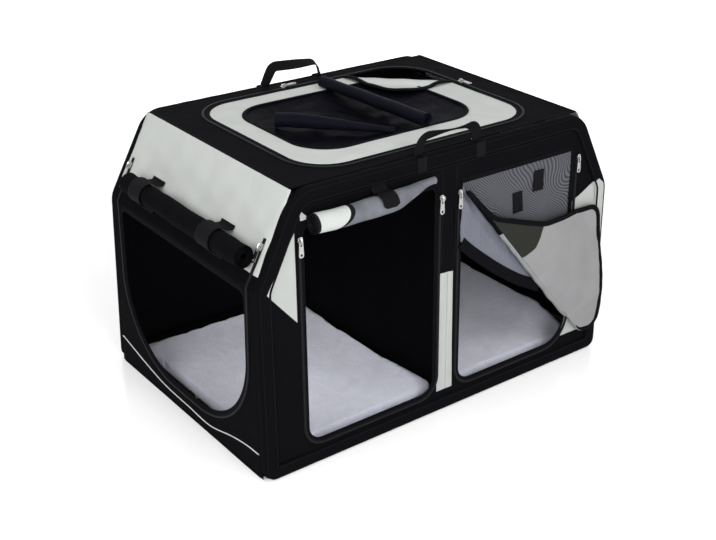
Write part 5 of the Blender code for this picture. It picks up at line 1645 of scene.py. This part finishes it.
class CRATE_OT_handles(DressPiece, bpy.types.Operator):
    """Bend the two webbing handles into arches, with their sewn feet and the snaps."""

    bl_idname = "crate.handles"
    bl_label = "Carry handles"

    def execute(self, context):
        tilt = DEPTH / 2 - LEAN - SLEEVE_THICK / 2 / math.cos(LEAN_ANGLE)
        half, web_half = 0.075, 0.011
        for word, sign, face, first, second in (
            ("front", -1, FRONT, (0.006, 0.036, 0.023), (0.006, 0.036, 0.023)),
            ("back", 1, BACK, (0.023, 0.040, 0.018), (0.009, 0.033, 0.020)),
        ):
            tops = [(first[0] - half, *first[1:]), (half - second[0], *second[1:])]
            line = rounded([(-half, 0.0005, 0), *tops, (half, 0.0005, 0)], 14)
            line = smooth_line(even(line, 40, closed=False), 170)
            side = normals_in_plane(line, closed=False)
            share = np.linspace(0, 1, len(line))
            if sign < 0:
                turn = 1.05 * np.sin(np.pi * share**1.2) ** 1.4
            else:
                turn = -1.22 * step(share, 0.0, 0.2) * (0.32 + 0.68 * step(share, 0.35, 0.85))
            across = np.linspace(-web_half, web_half, 10)
            bow = 0.0012 * np.sin(9 * share) * np.sin(np.pi * share)
            c, s = np.cos(turn), np.sin(turn)
            x = line[:, None, 0] + side[:, None, 0] * c[:, None] * across
            z = HEIGHT + line[:, None, 1] + side[:, None, 1] * c[:, None] * across
            y = sign * tilt + s[:, None] * across + bow[:, None] + 0.0005 * np.cos(across * 140)
            run = run_along(line)
            points, uv = stack(x, y, np.maximum(z, HEIGHT + 0.0004)), stack(run[:, None], across + web_half)
            piece = cloth_mesh(f"{word}_handle_web", [(points, uv, 0)], [webbing()], (0, -1, 0))
            thicken(piece, 0.0020, 0.0)
            fit(piece, f"{word}_handle", [f"{word}_handle"])

            def lift(u, v):
                return 0.0012 + 0.0003 * np.cos(u * 130)

            grids = []
            for foot in (-half, half):
                flat, uv = sheet_grid((-0.012, -0.026), (0.012, 0.004), (10, 14), lift)
                flat = flat + (foot, FACE_HEIGHT - 0.004, 0)
                grids.append((placed(face, flat), uv[..., ::-1], 0))
            piece = cloth_mesh(f"{word}_handle_feet", grids, [webbing()], placed_way(face))
            thicken(piece, 0.0014)
            fit(piece, f"{word}_frame")
        self.snaps()
        return {"FINISHED"}

    def snaps(self):
        """Two round snaps: a domed profile turned about its own axis."""
        grids = []
        for face, x, y, lift, radius in (
            (ROOF, 0.075, 0.020 - DEPTH / 2 + LEAN, 0.0008, 0.0042),
            (FRONT, -0.014, 0.476, -0.0048, 0.0048),
        ):
            share = np.linspace(0, 1, 9)
            r = np.concatenate(([radius * 1.25, radius * 1.15], radius * np.cos(share * np.pi / 2)))
            dome = lift + radius * 0.45 * np.sin(share * np.pi / 2)
            z = np.concatenate(([lift - 0.0008, lift], dome))[:, None]
            a = np.linspace(0, 2 * np.pi, 25)
            points = stack(x + r[:, None] * np.cos(a), y + r[:, None] * np.sin(a), z)
            grids.append((placed(face, points), stack(r[:, None], a[None, :] * radius), 0))
        finish = metal_finish("snap_metal", colours().metal, 0.25, 400.0)
        piece = cloth_mesh("snaps", grids, [finish], placed_way(FRONT))
        fit(piece, "front_frame")


class CRATE_OT_metal(DressPiece, bpy.types.Operator):
    """Give the steel tubes and the zip sliders their finishes."""

    bl_idname = "crate.metal"
    bl_label = "Tubes and sliders"

    def execute(self, context):
        tube = metal_finish("coated_tube", colours().steel, 0.42, 260.0, 0.5)
        bright = metal_finish("slider_metal", colours().metal, 0.22, 500.0, 0.25)
        for name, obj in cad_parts.items():
            if name.endswith("_hoop") or name.startswith("arm_"):
                finish = tube
            elif name.startswith(("slider_", "pull_")):
                finish = bright
            else:
                continue
            for slot in obj.material_slots:
                slot.material = finish
        return {"FINISHED"}


class CRATE_OT_stage(DressPiece, bpy.types.Operator):
    """Set the floor, the soft studio lamps, the world and the camera."""

    bl_idname = "crate.stage"
    bl_label = "Stage"

    def execute(self, context):
        points, uv = sheet_grid((-9, -9), (9, 9), (3, 3), lambda x, y: -0.0006 + 0 * x)
        floor = cloth_mesh("studio_floor", [(points, uv, 0)], [self.floor_finish()], UP)
        self.world()
        self.lamps()
        self.camera()
        return {"FINISHED"}

    def floor_finish(self):
        """White floor with a faint gloss; camera rays get a little more white, under the shadow."""
        material, tree, shader, place, _ = new_finish("studio_white", Specular_IOR_Level=1.0, Roughness=0.10)
        shade = blend(tree, noise(tree, place, 8.0, 2.0), (0.93, 0.93, 0.93), (0.96, 0.96, 0.96))
        tree.links.new(shade, shader.inputs["Base Color"])
        rays = tree.nodes.new("ShaderNodeLightPath")
        away = node(tree, "ShaderNodeVectorMath", {0: place}, operation="LENGTH").outputs["Value"]
        strength = scaled(tree, ramp(tree, away, 0.9, 3.0), 0.9, 0.20)
        glow = node(tree, "ShaderNodeEmission", {"Color": (1, 1, 1, 1), "Strength": strength})
        nothing = node(tree, "ShaderNodeEmission", {"Color": (0, 0, 0, 1), "Strength": 0.0})
        parts = {0: rays.outputs["Is Camera Ray"], 1: nothing.outputs[0], 2: glow.outputs[0]}
        pick = node(tree, "ShaderNodeMixShader", parts)
        both = node(tree, "ShaderNodeAddShader", {0: shader.outputs[0], 1: pick.outputs[0]})
        tree.links.new(both.outputs[0], tree.nodes["Material Output"].inputs["Surface"])
        return material

    def world(self):
        """White for the camera and mirrors, and a soft pale grey that lights the crate."""
        world = bpy.data.worlds.new("studio")
        bpy.context.scene.world = world
        world.use_nodes = True
        tree = world.node_tree
        back = tree.nodes["Background"]
        rays = tree.nodes.new("ShaderNodeLightPath")
        seen = calc(tree, "MAXIMUM", rays.outputs["Is Camera Ray"], rays.outputs["Is Transmission Ray"])
        seen = calc(tree, "MAXIMUM", seen, rays.outputs["Is Glossy Ray"])
        level = scaled(tree, seen, 0.52, 0.48)
        back.inputs["Color"].default_value = (1, 1, 1, 1)
        tree.links.new(level, back.inputs["Strength"])

    def lamps(self):
        """Four soft square lamps: above and in front, from the left, low in front, and above and behind."""
        for name, place, aim, size, power in (
            ("key", (0.4, -2.0, 2.4), (0, 0, 0.2), 2.0, 30.0),
            ("left_fill", (-2.7, -0.6, 1.5), (0, 0, 0.2), 1.6, 34.0),
            ("low_front", (-0.7, -2.8, 1.1), (0.1, 0, 0.0), 1.4, 52.0),
            ("top", (-0.3, 0.9, 2.7), (0, 0, 0.5), 1.8, 16.0),
        ):
            data = bpy.data.lights.new(name, "AREA")
            data.shape, data.size, data.energy = "SQUARE", size, power
            lamp = bpy.data.objects.new(name, data)
            bpy.context.scene.collection.objects.link(lamp)
            way = Vector(aim) - Vector(place)
            lamp.matrix_world = Matrix.Translation(place) @ way.to_track_quat("-Z", "Y").to_matrix().to_4x4()

    def camera(self):
        """The camera: 37.9 degrees to the left of the front, 26.3 above, and turned by 0.9."""
        turn, rise, roll = math.radians(-37.89), math.radians(26.28), math.radians(0.90)
        back = Vector((math.sin(turn) * math.cos(rise), -math.cos(turn) * math.cos(rise), math.sin(rise)))
        right = (-back).cross(Vector((0, 0, 1))).normalized()
        up = right.cross(-back)
        across = right * math.cos(roll) + up * math.sin(roll)
        above = up * math.cos(roll) - right * math.sin(roll)
        place = Vector((-0.010, 0.0, 0.209)) + back * 2.665
        data = bpy.data.cameras.new("studio")
        focal_pixels, picture_wide = 1202.5, 716
        data.sensor_width = 36.0
        data.lens = focal_pixels * 36.0 / picture_wide
        camera = bpy.data.objects.new("studio", data)
        bpy.context.scene.collection.objects.link(camera)
        rows = [[column[k] for column in (across, above, back, place)] for k in range(3)]
        camera.matrix_world = Matrix((*rows, (0, 0, 0, 1)))
        bpy.context.scene.camera = camera
        bpy.context.scene.view_settings.view_transform = "Standard"


OPERATORS = (
    CRATE_OT_hems,
    CRATE_OT_long_faces,
    CRATE_OT_zips,
    CRATE_OT_floor_and_roof,
    CRATE_OT_ends,
    CRATE_OT_rolled_doors,
    CRATE_OT_front_right_door,
    CRATE_OT_hatch,
    CRATE_OT_pads,
    CRATE_OT_handles,
    CRATE_OT_metal,
    CRATE_OT_stage,
)


class CRATE_PT_pieces(bpy.types.Panel):
    """The crate's sizes, colours and pieces."""

    bl_idname = "CRATE_PT_pieces"
    bl_label = "Pet crate"
    bl_space_type = "VIEW_3D"
    bl_region_type = "UI"
    bl_category = "Pet crate"

    def draw(self, context):
        for group in (context.scene.crate_sizes, context.scene.crate_colours):
            column = self.layout.column(align=True)
            for name in group.__annotations__:
                column.prop(group, name)
        column = self.layout.column(align=True)
        for operator in OPERATORS:
            column.operator(operator.bl_idname)


CLASSES = (CrateSizes, CrateColours, *OPERATORS, CRATE_PT_pieces)


def register():
    """Register the classes and hang the settings on the scene."""
    for made in CLASSES:
        bpy.utils.register_class(made)
    bpy.types.Scene.crate_sizes = bpy.props.PointerProperty(type=CrateSizes)
    bpy.types.Scene.crate_colours = bpy.props.PointerProperty(type=CrateColours)


def unregister():
    """Take the settings off the scene and unregister the classes."""
    del bpy.types.Scene.crate_sizes
    del bpy.types.Scene.crate_colours
    for made in reversed(CLASSES):
        bpy.utils.unregister_class(made)


def main():
    """Build every piece in order."""
    register()
    bpy.ops.crate.hems()
    bpy.ops.crate.long_faces()
    bpy.ops.crate.zips()
    bpy.ops.crate.floor_and_roof()
    bpy.ops.crate.ends()
    bpy.ops.crate.rolled_doors()
    bpy.ops.crate.front_right_door()
    bpy.ops.crate.hatch()
    bpy.ops.crate.pads()
    bpy.ops.crate.handles()
    bpy.ops.crate.metal()
    bpy.ops.crate.stage()
    bpy.context.view_layer.update()


if __name__ == "__main__":
    main()
